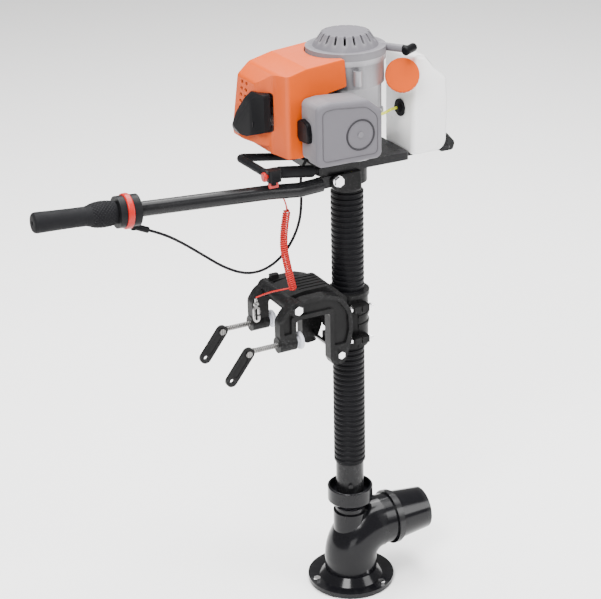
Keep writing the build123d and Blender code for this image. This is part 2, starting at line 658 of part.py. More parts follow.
# ---------------------------------------------------------------- crankcase and cylinder
CHAMBER_R = 32.0
CHAMBER_LOW = 280.0
CHAMBER_HIGH = 324.0
JOURNAL_R = 8.0
CLUTCH_CONE_TOP = 254.0
CYLINDER_FLANGE_X = SHAFT_X - CASE_HALF
with BuildPart() as crankcase:
    cone(46, 40, DECK_TOP, CLUTCH_CONE_TOP)
    block((SHAFT_X - CASE_HALF, -CASE_HALF, CLUTCH_CONE_TOP), (SHAFT_X + CASE_HALF, CASE_HALF, CASE_TOP), 12)
    # case halves meet on a raised seam
    block((SHAFT_X - CASE_HALF, -CASE_HALF - 2, CRANK_Z - 3), (SHAFT_X + CASE_HALF + 2, CASE_HALF + 2, CRANK_Z + 3),
          12)
    # feet bolted to the plate
    for x in (SHAFT_X - 36, SHAFT_X + 36):
        for y in (-22, 22):
            post(6, DECK_TOP, CLUTCH_CONE_TOP, x, y)
    post(CHAMBER_R, CHAMBER_LOW, CHAMBER_HIGH, mode=Mode.SUBTRACT)
    post(JOURNAL_R + RUN, DECK_TOP - 1, CASE_TOP + 1, mode=Mode.SUBTRACT)
    rod(BORE_R + 4, (SHAFT_X, 0, CRANK_Z), (CYLINDER_FLANGE_X - 1, 0, CRANK_Z), Mode.SUBTRACT)
keep(crankcase, "crankcase")

FIN_COUNT = 9
FIN_PITCH = 8.0
FIN_T = 2.2
FIN_HALF = 41.0
BARREL_OUT_R = 27.0
HEAD_X = -38.0
PORT_X = 14.0
with BuildPart() as cylinder:
    rod(BARREL_OUT_R, (CYLINDER_FLANGE_X, 0, CRANK_Z), (HEAD_X + 10, 0, CRANK_Z))
    rod(BARREL_OUT_R - 7, (HEAD_X + 10, 0, CRANK_Z), (HEAD_X, 0, CRANK_Z))
    for fin in range(FIN_COUNT):
        fin_x = HEAD_X + fin * FIN_PITCH + 4
        block((fin_x, -FIN_HALF, CRANK_Z - FIN_HALF), (fin_x + FIN_T, FIN_HALF, CRANK_Z + FIN_HALF))
    # base flange, inlet stub to port and outlet stub to starboard
    block((CYLINDER_FLANGE_X - 5, -30, CRANK_Z - 30), (CYLINDER_FLANGE_X, 30, CRANK_Z + 30))
    block((PORT_X - 14, -FIN_HALF - 3, CRANK_Z - 15), (PORT_X + 14, 0, CRANK_Z + 15))
    block((PORT_X - 14, 0, CRANK_Z - 15), (PORT_X + 14, FIN_HALF + 3, CRANK_Z + 15))
    rod(BORE_R, (HEAD_X + 18, 0, CRANK_Z), (CYLINDER_FLANGE_X + 1, 0, CRANK_Z), Mode.SUBTRACT)
    rod(8, (PORT_X, -FIN_HALF - 4, CRANK_Z), (PORT_X, -1, CRANK_Z), Mode.SUBTRACT)
    rod(8, (PORT_X, 1, CRANK_Z), (PORT_X, FIN_HALF + 4, CRANK_Z), Mode.SUBTRACT)
    rod(5, (HEAD_X - 1, 0, CRANK_Z), (HEAD_X + 19, 0, CRANK_Z), Mode.SUBTRACT)
keep(cylinder, "cylinder")

PISTON_TOP_X = HEAD_X + 20.0
PISTON_LENGTH = 30.0
with BuildPart() as piston:
    rod(BORE_R - RUN, (PISTON_TOP_X, 0, CRANK_Z), (PISTON_TOP_X + PISTON_LENGTH, 0, CRANK_Z))
    rod(BORE_R - 3, (PISTON_TOP_X + 5, 0, CRANK_Z), (PISTON_TOP_X + PISTON_LENGTH + 1, 0, CRANK_Z),
        Mode.SUBTRACT)
    rod(5, (PISTON_TOP_X + 18, -BORE_R + 2, CRANK_Z), (PISTON_TOP_X + 18, BORE_R - 2, CRANK_Z))
keep(piston, "piston")

WEB_R = 27.0
WEB_T = 9.0
THROW = STROKE / 2
ROD_HALF_T = 5.0
PIN_X = SHAFT_X - THROW
WRIST_X = PISTON_TOP_X + 18.0
with BuildPart() as conrod:
    with BuildSketch(Plane.XY.offset(CRANK_Z - ROD_HALF_T)) as rod_outline:
        with Locations((PIN_X, 0)):
            Circle(10)
        with Locations(((PIN_X + WRIST_X) / 2, 0)):
            Rectangle(PIN_X - WRIST_X, 9)
    extrude(rod_outline.sketch, amount=2 * ROD_HALF_T)
    rod(8, (WRIST_X, -ROD_HALF_T - 3, CRANK_Z), (WRIST_X, ROD_HALF_T + 3, CRANK_Z))
    rod(5, (WRIST_X, -20, CRANK_Z), (WRIST_X, 20, CRANK_Z), Mode.SUBTRACT)
    # the crank pin, which stays with the rod where the linkage is opened
    post(6.5, CRANK_Z - 8 + GAP, CRANK_Z + 8 - GAP, PIN_X)
keep(conrod, "conrod")

with BuildPart() as crankshaft:
    post(JOURNAL_R, 238, CRANK_Z - 8 - WEB_T / 2)
    for level in (CRANK_Z - 8 - WEB_T, CRANK_Z + 8):
        post(WEB_R, level, level + WEB_T)
    post(JOURNAL_R, CRANK_Z + 8 + WEB_T / 2, 362)
keep(crankshaft, "crankshaft")

SPARK_HEX_X = -44.0
with BuildPart() as spark_plug:
    rod(4.9, (HEAD_X + 17, 0, CRANK_Z), (HEAD_X, 0, CRANK_Z))
    hexagon(8.5, (SPARK_HEX_X, 0, CRANK_Z), (HEAD_X, 0, CRANK_Z))
    rod(4.4, (SPARK_HEX_X - 12, 0, CRANK_Z), (SPARK_HEX_X, 0, CRANK_Z))
keep(spark_plug, "spark_plug")

# ---------------------------------------------------------------- engine covers
COVER_POINTS = ((-53, 258), (-53, 269), (-75, 271), (-77, 281), (-66, 362), (-47, 379), (-11, 388), (51, 394),
                (54, 352), (22, 346), (22, 276), (-20, 256))
COVER_RADII = (3, 2, 3, 9, 9, 14, 30, 4, 4, 3, 6, 18)
# outline seen from above: the front falls back towards the intake side
COVER_PLAN = ((-43, -58), (-50, -24), (-64, -6), (-79, 50), (-79, 58), (60, 58), (60, -58))
COVER_PLAN_RADII = (7, 16, 20, 3, 6, 1, 1)


def shrunk(points, amount):
    """Polygon drawn in by roughly this much towards its middle."""
    middle_x = sum(x for x, _ in points) / len(points)
    middle_z = sum(z for _, z in points) / len(points)
    half_x = max(abs(x - middle_x) for x, _ in points)
    half_z = max(abs(z - middle_z) for _, z in points)
    return tuple(
        (middle_x + (x - middle_x) * (1 - amount / half_x), middle_z + (z - middle_z) * (1 - amount / half_z))
        for x, z in points
    )


COVER_INSIDE = ((-50.5, 240), (-50.5, 271.6), (-72.4, 273.5), (-74.3, 282), (-63.6, 360.5), (-46, 376.3),
                (-10.5, 385.5), (60, 391.5), (60, 355), (30, 348.5), (30, 240))
COVER_INSIDE_RADII = (1, 1, 2, 7, 7, 12, 28, 2, 2, 2, 1)
INSIDE_PLAN = ((-40.5, -55.5), (-47.5, -23), (-61.5, -5), (-76.5, 51), (-76.5, 55.5), (60, 55.5), (60, -55.5))
INSIDE_PLAN_RADII = (4.5, 16, 20, 2, 3, 1, 1)
PLAN_LOW = 230.0
PLAN_HIGH = 400.0
VENT_PITCH = 9.5
VENT_TOP = 354.0
VENTS = tuple((40, VENT_TOP - VENT_PITCH * row) for row in range(5)) + tuple(
    (26, VENT_TOP - VENT_PITCH * row) for row in range(3))
# black cover of the spark plug: outline seen from the front, from the side and from above
PLUG_FRONT = ((-26, 293), (8, 281), (46, 280), (36, 311), (8, 348), (-26, 350))
PLUG_FRONT_RADII = (6, 12, 5, 14, 4, 5)
PLUG_SIDE = ((-46, 270), (-80, 278), (-85, 290), (-76, 336), (-66, 353), (-46, 353))
PLUG_SIDE_RADII = (1, 5, 12, 16, 6, 1)
PLUG_PLAN = ((-46, -30), (-64, -28), (-76, 0), (-86, 44), (-86, 50), (-46, 50))
PLUG_PLAN_RADII = (1, 4, 16, 5, 2, 1)
PLUG_WALL = 3.0
PLUG_BACK_X = -55.0


def plan_prism(points, radii, mode):
    """Upright prism over an outline drawn in plan."""
    with BuildSketch(Plane.XY.offset(PLAN_LOW)) as outline:
        with BuildLine():
            FilletPolyline(*points, radius=radii, close=True)
        make_face()
    extrude(outline.sketch, amount=PLAN_HIGH - PLAN_LOW, mode=mode)


def front_prism(points, radii, mode):
    """Fore-and-aft prism over an outline drawn in the front view."""
    with BuildSketch(Plane.YZ.offset(-95)) as outline:
        with BuildLine():
            FilletPolyline(*points, radius=radii, close=True)
        make_face()
    extrude(outline.sketch, amount=49, mode=mode)


with BuildPart() as cover_inside:
    side_plate(COVER_INSIDE, COVER_INSIDE_RADII, -COVER_HALF_Y + COVER_WALL, COVER_HALF_Y - COVER_WALL)
    plan_prism(INSIDE_PLAN, INSIDE_PLAN_RADII, Mode.INTERSECT)

with BuildPart() as plug_hollow:
    side_plate(shrunk(PLUG_SIDE, PLUG_WALL), 2, -40, 60)
    front_prism(shrunk(PLUG_FRONT, PLUG_WALL), 2, Mode.INTERSECT)
    plan_prism(shrunk(PLUG_PLAN, PLUG_WALL), 2, Mode.INTERSECT)

with BuildPart() as cylinder_cover:
    side_plate(COVER_POINTS, COVER_RADII, -COVER_HALF_Y, COVER_HALF_Y)
    fillet(edges().filter_by(Axis.Y, reverse=True).group_by(Axis.Y)[0], 1.5)
    fillet(edges().filter_by(Axis.Y, reverse=True).group_by(Axis.Y)[-1], 1.5)
    plan_prism(COVER_PLAN, COVER_PLAN_RADII, Mode.INTERSECT)
    add(cover_inside.part, mode=Mode.SUBTRACT)
    # open around the fan housing
    post(FAN_HOUSING_R + 1.5, 340, 400, mode=Mode.SUBTRACT)
    # gaps in the side walls for the inlet and the exhaust
    block((-8, -COVER_HALF_Y - 1, 240), (24, -COVER_HALF_Y + 9, 330), 0, Mode.SUBTRACT)
    block((-2, COVER_HALF_Y - 9, 286), (30, COVER_HALF_Y + 1, 318), 0, Mode.SUBTRACT)
    # opening for the spark plug's cover
    front_prism(shrunk(PLUG_FRONT, -GAP), PLUG_FRONT_RADII, Mode.SUBTRACT)
    # cooling slots
    with BuildSketch(Plane.YZ.offset(-95)) as vents:
        with Locations(*VENTS):
            SlotOverall(8, 5.5)
    extrude(vents.sketch, amount=40, mode=Mode.SUBTRACT)
keep(cylinder_cover, "cylinder_cover")

with BuildPart() as plug_cover:
    side_plate(PLUG_SIDE, PLUG_SIDE_RADII, -40, 60)
    front_prism(PLUG_FRONT, PLUG_FRONT_RADII, Mode.INTERSECT)
    plan_prism(PLUG_PLAN, PLUG_PLAN_RADII, Mode.INTERSECT)
    add(plug_hollow.part, mode=Mode.SUBTRACT)
    block((PLUG_BACK_X, -40, 260), (-40, 60, 360), 0, Mode.SUBTRACT)
    rod(7, (-74, 0, CRANK_Z), (SPARK_HEX_X - 2, 0, CRANK_Z))
    rod(4.4, (-64, 0, CRANK_Z), (SPARK_HEX_X, 0, CRANK_Z), Mode.SUBTRACT)
keep(plug_cover, "plug_cover")

FAN_FLOOR = 4.0
FAN_DRUM_R = 57.0
FAN_BOSSES = ((SHAFT_X - 14, -61), (SHAFT_X + 52, 34), (SHAFT_X - 12, 61.5))
FAN_BOSS_BOTTOM = 352.0
FAN_BOSS_TOP = 374.0
with BuildPart() as fan_housing:
    post(FAN_DRUM_R, CASE_TOP, FAN_TOP)
    post(FAN_HOUSING_R, FAN_TOP - 8, FAN_TOP)
    # screw bosses round the drum
    for x, y in FAN_BOSSES:
        post(6.5, FAN_BOSS_BOTTOM, FAN_BOSS_TOP, x, y)
    post(FAN_DRUM_R - 3, CASE_TOP + FAN_FLOOR, FAN_TOP + 1, mode=Mode.SUBTRACT)
    post(20, CASE_TOP - 1, CASE_TOP + FAN_FLOOR + 1, mode=Mode.SUBTRACT)
    # air window towards the cylinder
    block((0, -34, CASE_TOP + FAN_FLOOR), (60, 34, FAN_TOP - 8), 0, Mode.SUBTRACT)
    for x, y in FAN_BOSSES:
        post(2.5, FAN_BOSS_TOP - 10, FAN_BOSS_TOP, x, y, Mode.SUBTRACT)
keep(fan_housing, "fan_housing")

FAN_BLADES = 14
with BuildPart() as flywheel_fan:
    post(46, 351, 356)
    post(14, 349, 378)
    for blade in range(FAN_BLADES):
        turn = 2 * math.pi * blade / FAN_BLADES
        inner_point = (SHAFT_X + 18 * math.cos(turn), 18 * math.sin(turn))
        outer_point = (SHAFT_X + 46 * math.cos(turn + 0.35), 46 * math.sin(turn + 0.35))
        with BuildSketch(Plane.XY.offset(356)) as blade_outline:
            middle = ((inner_point[0] + outer_point[0]) / 2, (inner_point[1] + outer_point[1]) / 2)
            heading = math.degrees(math.atan2(outer_point[1] - inner_point[1], outer_point[0] - inner_point[0]))
            with Locations(Location(middle, heading)):
                Rectangle(29, 2)
        extrude(blade_outline.sketch, amount=18)
    post(JOURNAL_R, 348, 362, mode=Mode.SUBTRACT)
keep(flywheel_fan, "flywheel_fan")

# rope direction and the point where it leaves the pulley
ROPE_DIRECTION = Vector(0.55, -0.835, 0).normalized()
ROPE_START = Vector(SHAFT_X, 0, PULLEY_Z + 5) + Vector(-ROPE_DIRECTION.Y, ROPE_DIRECTION.X, 0) * PULLEY_R


def on_rope(distance):
    """Point on the starter rope's line, this far from the pulley."""
    return tuple(ROPE_START + ROPE_DIRECTION * distance)


STARTER_FLANGE_TOP = 398.0
DOME_BASE = 400.0
HORN_R = 5.9
ROPE_R = 1.75
DOME_SLOTS = 18
with BuildPart() as starter_housing:
    post(FAN_HOUSING_R, FAN_TOP, STARTER_FLANGE_TOP)
    cone(DOME_BASE_R + 1, DOME_TOP_R, STARTER_FLANGE_TOP, DOME_TOP)
    fillet(faces().sort_by(Axis.Z)[-1].edges(), 2.5)
    rod(HORN_R, on_rope(40), on_rope(80))
    post(FAN_HOUSING_R - 4, FAN_TOP - 1, STARTER_FLANGE_TOP - 3, mode=Mode.SUBTRACT)
    cone(DOME_BASE_R - 3, DOME_TOP_R - 3, STARTER_FLANGE_TOP - 4, DOME_TOP - 3, Mode.SUBTRACT)
    for slot in range(DOME_SLOTS):
        turn = 2 * math.pi * slot / DOME_SLOTS
        centre = (SHAFT_X + 42 * math.cos(turn), 42 * math.sin(turn), DOME_TOP - 6)
        outward = Vector(math.cos(turn), math.sin(turn), 0)
        with BuildSketch(Plane(origin=centre, z_dir=outward, x_dir=(0, 0, 1))) as slot_outline:
            SlotOverall(13, 3.6)
        extrude(slot_outline.sketch, amount=9, both=True, mode=Mode.SUBTRACT)
    rod(ROPE_R + 0.5, on_rope(20), on_rope(90), Mode.SUBTRACT)
    # post that the pulley turns on
    post(6, PULLEY_Z - 1, DOME_TOP - 2)
keep(starter_housing, "starter_housing")

with BuildPart() as starter_pulley:
    post(PULLEY_R + 3, PULLEY_Z, PULLEY_Z + 2)
    post(PULLEY_R, PULLEY_Z + 2, PULLEY_Z + 8)
    post(PULLEY_R + 3, PULLEY_Z + 8, PULLEY_Z + 10)
    post(6 + RUN, PULLEY_Z - 1, PULLEY_Z + 11, mode=Mode.SUBTRACT)
keep(starter_pulley, "starter_pulley")

with BuildPart() as starter_handle:
    across = Vector(-ROPE_DIRECTION.Y, ROPE_DIRECTION.X, 0)
    middle = Vector(*on_rope(90))
    rod(5.5, on_rope(80 + GAP), on_rope(90))
    rod(6.5, tuple(middle - across * 15), tuple(middle + across * 15))
    fillet([edge for edge in edges().filter_by(GeomType.CIRCLE) if edge.radius > 6.4], 3)
keep(starter_handle, "starter_handle")

# ---------------------------------------------------------------- intake side
FILTER_POINTS = ((FILTER_LEFT_X, FILTER_BOTTOM), (FILTER_RIGHT_X, FILTER_BOTTOM), (FILTER_RIGHT_X, 326), (60, 345),
                 (0, FILTER_TOP), (FILTER_LEFT_X, 346))
FILTER_RADII = (10, 10, 9, 16, 24, 9)


def filter_box(front_y, back_y, inset, mode=Mode.ADD):
    """Case of the air filter between two depths, drawn in by an inset."""
    side_plate(shrunk(FILTER_POINTS, inset), FILTER_RADII, front_y, back_y, mode)


CARB_BORE_R = 9.0
CHOKE_X = FILTER_LEFT_X - 0.4
CHOKE_Y = -70.2
CHOKE_Z = 294.0
CHOKE_PIN_R = 4.0
with BuildPart() as air_filter_base:
    filter_box(FILTER_SEAM_Y, FILTER_BACK_Y, 1.5)
    filter_box(FILTER_SEAM_Y + 4, FILTER_BACK_Y, 4.0, Mode.SUBTRACT)
    rod(CARB_BORE_R, (PORT_X + 14, FILTER_SEAM_Y - 1, CRANK_Z), (PORT_X + 14, FILTER_BACK_Y, CRANK_Z), Mode.SUBTRACT)
    rod(CHOKE_PIN_R + RUN, (CHOKE_X - 1, CHOKE_Y, CHOKE_Z), (CHOKE_X + 10, CHOKE_Y, CHOKE_Z), Mode.SUBTRACT)
    # slack side of the base that the fuel line passes
    block((70, -63, CRANK_Z - 8), (90, FILTER_BACK_Y + 1, CRANK_Z + 6), 0, Mode.SUBTRACT)
keep(air_filter_base, "air_filter_base")

RING_X = 47.0
RING_Z = 295.0
RAISED_RING_R = 23.0
with BuildPart() as air_filter_cover:
    filter_box(FILTER_FRONT_Y, FILTER_SEAM_Y - GAP, 0)
    fillet(faces().sort_by(Axis.Y)[0].edges(), 6)
    filter_box(FILTER_FRONT_Y + 3, FILTER_SEAM_Y, 3, Mode.SUBTRACT)
    # plain raised ring on the front
    with BuildSketch(Plane.XZ.offset(-FILTER_FRONT_Y)) as ring_outline:
        with Locations((RING_X, RING_Z)):
            Circle(RAISED_RING_R)
            Circle(RAISED_RING_R - 2.2, mode=Mode.SUBTRACT)
    extrude(ring_outline.sketch, amount=0.9)
    # thumb screw that holds the cover
    rod(4.5, (RING_X, FILTER_FRONT_Y + 1, RING_Z), (RING_X, FILTER_FRONT_Y - 1.2, RING_Z))
keep(air_filter_cover, "air_filter_cover")

CARB_X = PORT_X + 14
with BuildPart() as carburettor:
    rod(15, (PORT_X, -FIN_HALF - 3, CRANK_Z), (PORT_X, -50, CRANK_Z))
    block((PORT_X - 13, -72, CRANK_Z - 17), (CARB_X + 16, -50, CRANK_Z + 17), 3)
    rod(13, (CARB_X, -76, CRANK_Z), (CARB_X, -72, CRANK_Z))
    # throttle barrel that takes the cable, and the fuel spigot
    rod(5, (14, -57, CRANK_Z - 30), (14, -57, CRANK_Z - 17))
    rod(7, (14, -60, CRANK_Z + 17), (14, -60, CRANK_Z + 25))
    rod(8, (CARB_X, -77, CRANK_Z), (CARB_X, -60, CRANK_Z), Mode.SUBTRACT)
keep(carburettor, "carburettor")

CHOKE_POINTS = ((-59.6, 315), (-59.6, 291), (-66, 286), (-93, 288), (-95, 300), (-91, 317), (-72, 321))
CHOKE_RADII = (5, 4, 4, 6, 8, 6, 8)
CHOKE_T = 6.5
with BuildPart() as choke_lever:
    with BuildSketch(Plane.YZ.offset(CHOKE_X - CHOKE_T)) as choke_outline:
        with BuildLine():
            FilletPolyline(*CHOKE_POINTS, radius=CHOKE_RADII, close=True)
        make_face()
    extrude(choke_outline.sketch, amount=CHOKE_T)
    fillet(faces().sort_by(Axis.X)[0].edges(), 2)
    rod(CHOKE_PIN_R, (CHOKE_X, CHOKE_Y, CHOKE_Z), (CHOKE_X + 8, CHOKE_Y, CHOKE_Z))
keep(choke_lever, "choke_lever")

# ---------------------------------------------------------------- exhaust side
MUFFLER_LOW = (-14.0, FIN_HALF + 17.5, 262.0)
MUFFLER_HIGH = (62.0, 100.0, 342.0)
with BuildPart() as muffler:
    block(MUFFLER_LOW, MUFFLER_HIGH, 8)
    fillet(faces().sort_by(Axis.Y)[-1].edges(), 4)
    rod(12, (PORT_X, FIN_HALF + 3, CRANK_Z), (PORT_X, MUFFLER_LOW[1] + 1, CRANK_Z))
    rod(8, (48, 84, 268), (58, 94, 250))
    rod(6, (46, 82, 271.6), (58.6, 94.6, 249), Mode.SUBTRACT)
keep(muffler, "muffler")

# ---------------------------------------------------------------- fuel tank
TANK_NEAR_Y = -47.0
TANK_FAR_Y = 38.0
TANK_X = 172.0
TANK_POINTS = ((TANK_X, 222), (TANK_X, 381), (195, 375), (212, 354), (232, 338), (235, 300), (233, 222))
TANK_RADII = (8, 8, 10, 14, 10, 30, 20)
TANK_WALL = 2.5
CAP_FACE = Vector(149.5, -53.5, 354.5)
CAP_NORMAL = Vector(-0.48, -0.80, 0.36).normalized()
CAP_T = 15.0
NECK_R = 18.0


def on_cap(distance):
    """Point on the filler's axis, this far behind the cap's face."""
    return tuple(CAP_FACE - CAP_NORMAL * distance)


GROMMET = (TANK_X, -12.0, 291.0)
with BuildPart() as fuel_tank:
    side_plate(TANK_POINTS, TANK_RADII, TANK_NEAR_Y, TANK_FAR_Y)
    fillet(edges().filter_by(Axis.Y, reverse=True).group_by(Axis.Y)[0], 7)
    fillet(edges().filter_by(Axis.Y, reverse=True).group_by(Axis.Y)[-1], 7)
    rod(CAP_R + GAP, on_cap(0), on_cap(CAP_T + GAP), Mode.SUBTRACT)
    rod(NECK_R + 4, on_cap(CAP_T + 3), on_cap(46))
    rod(NECK_R, on_cap(5), on_cap(30))
    side_plate(shrunk(TANK_POINTS, TANK_WALL), 6, TANK_NEAR_Y + TANK_WALL, TANK_FAR_Y - TANK_WALL, Mode.SUBTRACT)
    rod(NECK_R - 3, on_cap(4), on_cap(52), Mode.SUBTRACT)
    rod(5, (TANK_X - 2, GROMMET[1], GROMMET[2]), (TANK_X + 5, GROMMET[1], GROMMET[2]), Mode.SUBTRACT)
keep(fuel_tank, "fuel_tank")

CAP_FLUTES = 24
with BuildPart() as fuel_cap:
    rod(CAP_R, on_cap(0), on_cap(CAP_T))
    fillet([edge for edge in edges().filter_by(GeomType.CIRCLE)], 2)
    with BuildSketch(Plane(origin=on_cap(CAP_T + 1), z_dir=CAP_NORMAL)) as flutes:
        with PolarLocations(CAP_R + 0.8, CAP_FLUTES):
            Circle(1.6)
    extrude(flutes.sketch, amount=CAP_T - 3, mode=Mode.SUBTRACT)
    rod(NECK_R + GAP, on_cap(3), on_cap(CAP_T + 1), Mode.SUBTRACT)
keep(fuel_cap, "fuel_cap")

with BuildPart() as tank_grommet:
    rod(13.5, (TANK_X - 4, GROMMET[1], GROMMET[2]), (TANK_X, GROMMET[1], GROMMET[2]))
    fillet([edge for edge in edges().filter_by(GeomType.CIRCLE)], 1.5)
    rod(7, (TANK_X - 8, GROMMET[1], GROMMET[2]), (TANK_X - 3, GROMMET[1], GROMMET[2]))
    rod(4.8, (TANK_X, GROMMET[1], GROMMET[2]), (TANK_X + 6, GROMMET[1], GROMMET[2]))
    rod(FUEL_R, (TANK_X - 9, GROMMET[1], GROMMET[2]), (TANK_X - 5.5, GROMMET[1], GROMMET[2]), Mode.SUBTRACT)
keep(tank_grommet, "tank_grommet")

with BuildPart() as fuel_line:
    cord(FUEL_ROUTE, FUEL_R, "fuel_line")
keep(fuel_line, "fuel_line")

with BuildPart() as tank_stand:
    block((DECK_BACK_X, -30, DECK_TOP - DECK_DEPTH), (250, 34, 221.5), 4)
    side_plate(((238, 218), (238, 236), (256, 236), (272, 218), (268, 206), (246, 206)), (2, 4, 8, 8, 5, 5), -8, 40)
keep(tank_stand, "tank_stand")

# ---------------------------------------------------------------- pump
BEND_CENTRE_X = SHAFT_X + BEND_R
BEND_CENTRE_Z = OUTLET_Z - BEND_R


def water_way(radius, low_z, mode=Mode.ADD):
    """Pipe that rises from the intake and bends aft to the outlet."""
    post(radius, low_z, BEND_CENTRE_Z, mode=mode)
    with BuildSketch(Plane.XY.offset(BEND_CENTRE_Z)) as section:
        with Locations((SHAFT_X, 0)):
            Circle(radius)
    revolve(section.sketch, axis=Axis((BEND_CENTRE_X, 0, BEND_CENTRE_Z), (0, 1, 0)),
            revolution_arc=90, mode=mode)


BOSS_TOP = -388.0
NECK_TOP = -380.0
SHAFT_R = 5.0
OUTLET_RING_R = 45.5
with BuildPart() as pump_elbow:
    water_way(BELL_R, FLANGE_Z)
    rod(OUTLET_PIPE_R + 1.5, (BEND_CENTRE_X - 2, 0, OUTLET_Z), (OUTLET_END_X - 8, 0, OUTLET_Z))
    rod(OUTLET_RING_R, (OUTLET_END_X - 8, 0, OUTLET_Z), (OUTLET_END_X, 0, OUTLET_Z))
    post(FLANGE_R, FLANGE_Z, FLANGE_Z + FLANGE_T)
    cone(BELL_R + 10, BELL_R, FLANGE_Z + FLANGE_T, FLANGE_Z + FLANGE_T + 12)
    # boss that the shaft tube stands in
    post(28.0, -425, BOSS_TOP)
    post(24.6, BOSS_TOP, NECK_TOP)
    fillet(faces().sort_by(Axis.Z)[0].edges(), 2)
    water_way(BELL_R - PUMP_WALL, FLANGE_Z - 1, Mode.SUBTRACT)
    rod(OUTLET_PIPE_R - 2.5, (BEND_CENTRE_X - 2, 0, OUTLET_Z), (OUTLET_END_X + 1, 0, OUTLET_Z), Mode.SUBTRACT)
    post(TUBE_R + 0.02, TUBE_BOTTOM, NECK_TOP + 1, mode=Mode.SUBTRACT)
    post(SHAFT_R + RUN, -440, TUBE_BOTTOM + 1, mode=Mode.SUBTRACT)
    with BuildSketch(Plane.XY.offset(FLANGE_Z - 1)) as bolt_holes:
        with Locations((SHAFT_X, 0)):
            with PolarLocations(FLANGE_PCD / 2, FLANGE_BOLTS, start_angle=176):
                Circle(3.2)
    extrude(bolt_holes.sketch, amount=FLANGE_T + 2, mode=Mode.SUBTRACT)
keep(pump_elbow, "pump_elbow")

with BuildPart() as flange_bolts:
    for bolt in range(FLANGE_BOLTS):
        turn = math.radians(176 + 360 / FLANGE_BOLTS * bolt)
        bolt_x = SHAFT_X + FLANGE_PCD / 2 * math.cos(turn)
        bolt_y = FLANGE_PCD / 2 * math.sin(turn)
        post(3.1, FLANGE_Z, FLANGE_Z + FLANGE_T, bolt_x, bolt_y)
        hexagon(6, (bolt_x, bolt_y, FLANGE_Z + FLANGE_T), (bolt_x, bolt_y, FLANGE_Z + FLANGE_T + 4.5))
keep(flange_bolts, "flange_bolts")

with BuildPart() as nozzle:
    with BuildSketch(Plane.XZ) as nozzle_section:
        with BuildLine():
            Polyline(
                (OUTLET_END_X, OUTLET_Z + OUTLET_PIPE_R - 2.5),
                (OUTLET_END_X, OUTLET_Z + 43.5),
                (OUTLET_END_X + 4, OUTLET_Z + 43.5),
                (OUTLET_END_X + 4, OUTLET_Z + 41),
                (NOZZLE_END_X, OUTLET_Z + NOZZLE_R),
                (NOZZLE_END_X, OUTLET_Z + NOZZLE_BORE_R),
                (NOZZLE_END_X - NOZZLE_BORE_LENGTH, OUTLET_Z + NOZZLE_BORE_R),
                close=True,
            )
        make_face()
    revolve(axis=Axis((0, 0, OUTLET_Z), (1, 0, 0)))
keep(nozzle, "nozzle")

with BuildPart() as pump_collar:
    cone(24.6, COLLAR_R, NECK_TOP, COLLAR_BOTTOM)
    post(COLLAR_R, COLLAR_BOTTOM, COLLAR_TOP)
    fillet(faces().sort_by(Axis.Z)[-1].edges(), 2)
    post(COLLAR_R - 3.5, COLLAR_TOP - 16, COLLAR_TOP + 1, mode=Mode.SUBTRACT)
    post(TUBE_R, NECK_TOP - 1, COLLAR_TOP, mode=Mode.SUBTRACT)
keep(pump_collar, "pump_collar")

IMPELLER_TOP = -476.0
IMPELLER_BOTTOM = -504.0
IMPELLER_R = 37.5
with BuildPart() as drive_shaft:
    post(SHAFT_R, -508, 238)
keep(drive_shaft, "drive_shaft")

BLADES = 4
with BuildPart() as impeller:
    post(11, IMPELLER_BOTTOM, IMPELLER_TOP)
    for blade in range(BLADES):
        turn = 360 / BLADES * blade
        root = Plane(origin=(SHAFT_X, 0, (IMPELLER_BOTTOM + IMPELLER_TOP) / 2),
                     x_dir=(-math.sin(math.radians(turn)), math.cos(math.radians(turn)), 0),
                     z_dir=(math.cos(math.radians(turn)), math.sin(math.radians(turn)), 0))
        with BuildSketch(root.offset(8)) as blade_outline:
            RectangleRounded(26, 3, 1.4, rotation=35)
        extrude(blade_outline.sketch, amount=IMPELLER_R - 9)
    post(SHAFT_R, IMPELLER_BOTTOM - 1, IMPELLER_TOP + 1, mode=Mode.SUBTRACT)
keep(impeller, "impeller")
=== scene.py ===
"""Looks of the small petrol outboard with a jet pump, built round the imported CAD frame."""

import math

import bpy
from mathutils import Matrix, Vector


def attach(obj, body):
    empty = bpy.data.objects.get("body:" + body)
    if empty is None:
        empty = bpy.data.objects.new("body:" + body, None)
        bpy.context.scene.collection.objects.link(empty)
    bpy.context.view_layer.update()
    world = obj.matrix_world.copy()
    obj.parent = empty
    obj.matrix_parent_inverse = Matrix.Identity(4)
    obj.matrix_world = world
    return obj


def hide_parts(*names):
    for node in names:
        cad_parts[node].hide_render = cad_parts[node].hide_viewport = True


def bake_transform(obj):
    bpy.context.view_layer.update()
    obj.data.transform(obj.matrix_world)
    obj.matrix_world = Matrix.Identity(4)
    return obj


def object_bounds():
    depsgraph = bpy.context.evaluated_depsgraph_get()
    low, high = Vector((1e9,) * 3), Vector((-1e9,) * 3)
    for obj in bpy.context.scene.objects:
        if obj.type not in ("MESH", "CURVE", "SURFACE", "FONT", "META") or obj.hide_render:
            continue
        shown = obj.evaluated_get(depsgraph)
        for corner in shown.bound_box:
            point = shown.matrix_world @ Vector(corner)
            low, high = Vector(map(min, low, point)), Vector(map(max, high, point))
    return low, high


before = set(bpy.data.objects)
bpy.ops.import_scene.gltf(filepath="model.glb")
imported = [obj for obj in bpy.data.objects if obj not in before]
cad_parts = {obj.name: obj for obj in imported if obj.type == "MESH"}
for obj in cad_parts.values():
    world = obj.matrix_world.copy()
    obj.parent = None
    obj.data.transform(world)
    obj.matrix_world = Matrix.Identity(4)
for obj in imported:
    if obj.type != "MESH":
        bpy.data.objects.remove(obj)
cad_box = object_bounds()
MM = 0.001


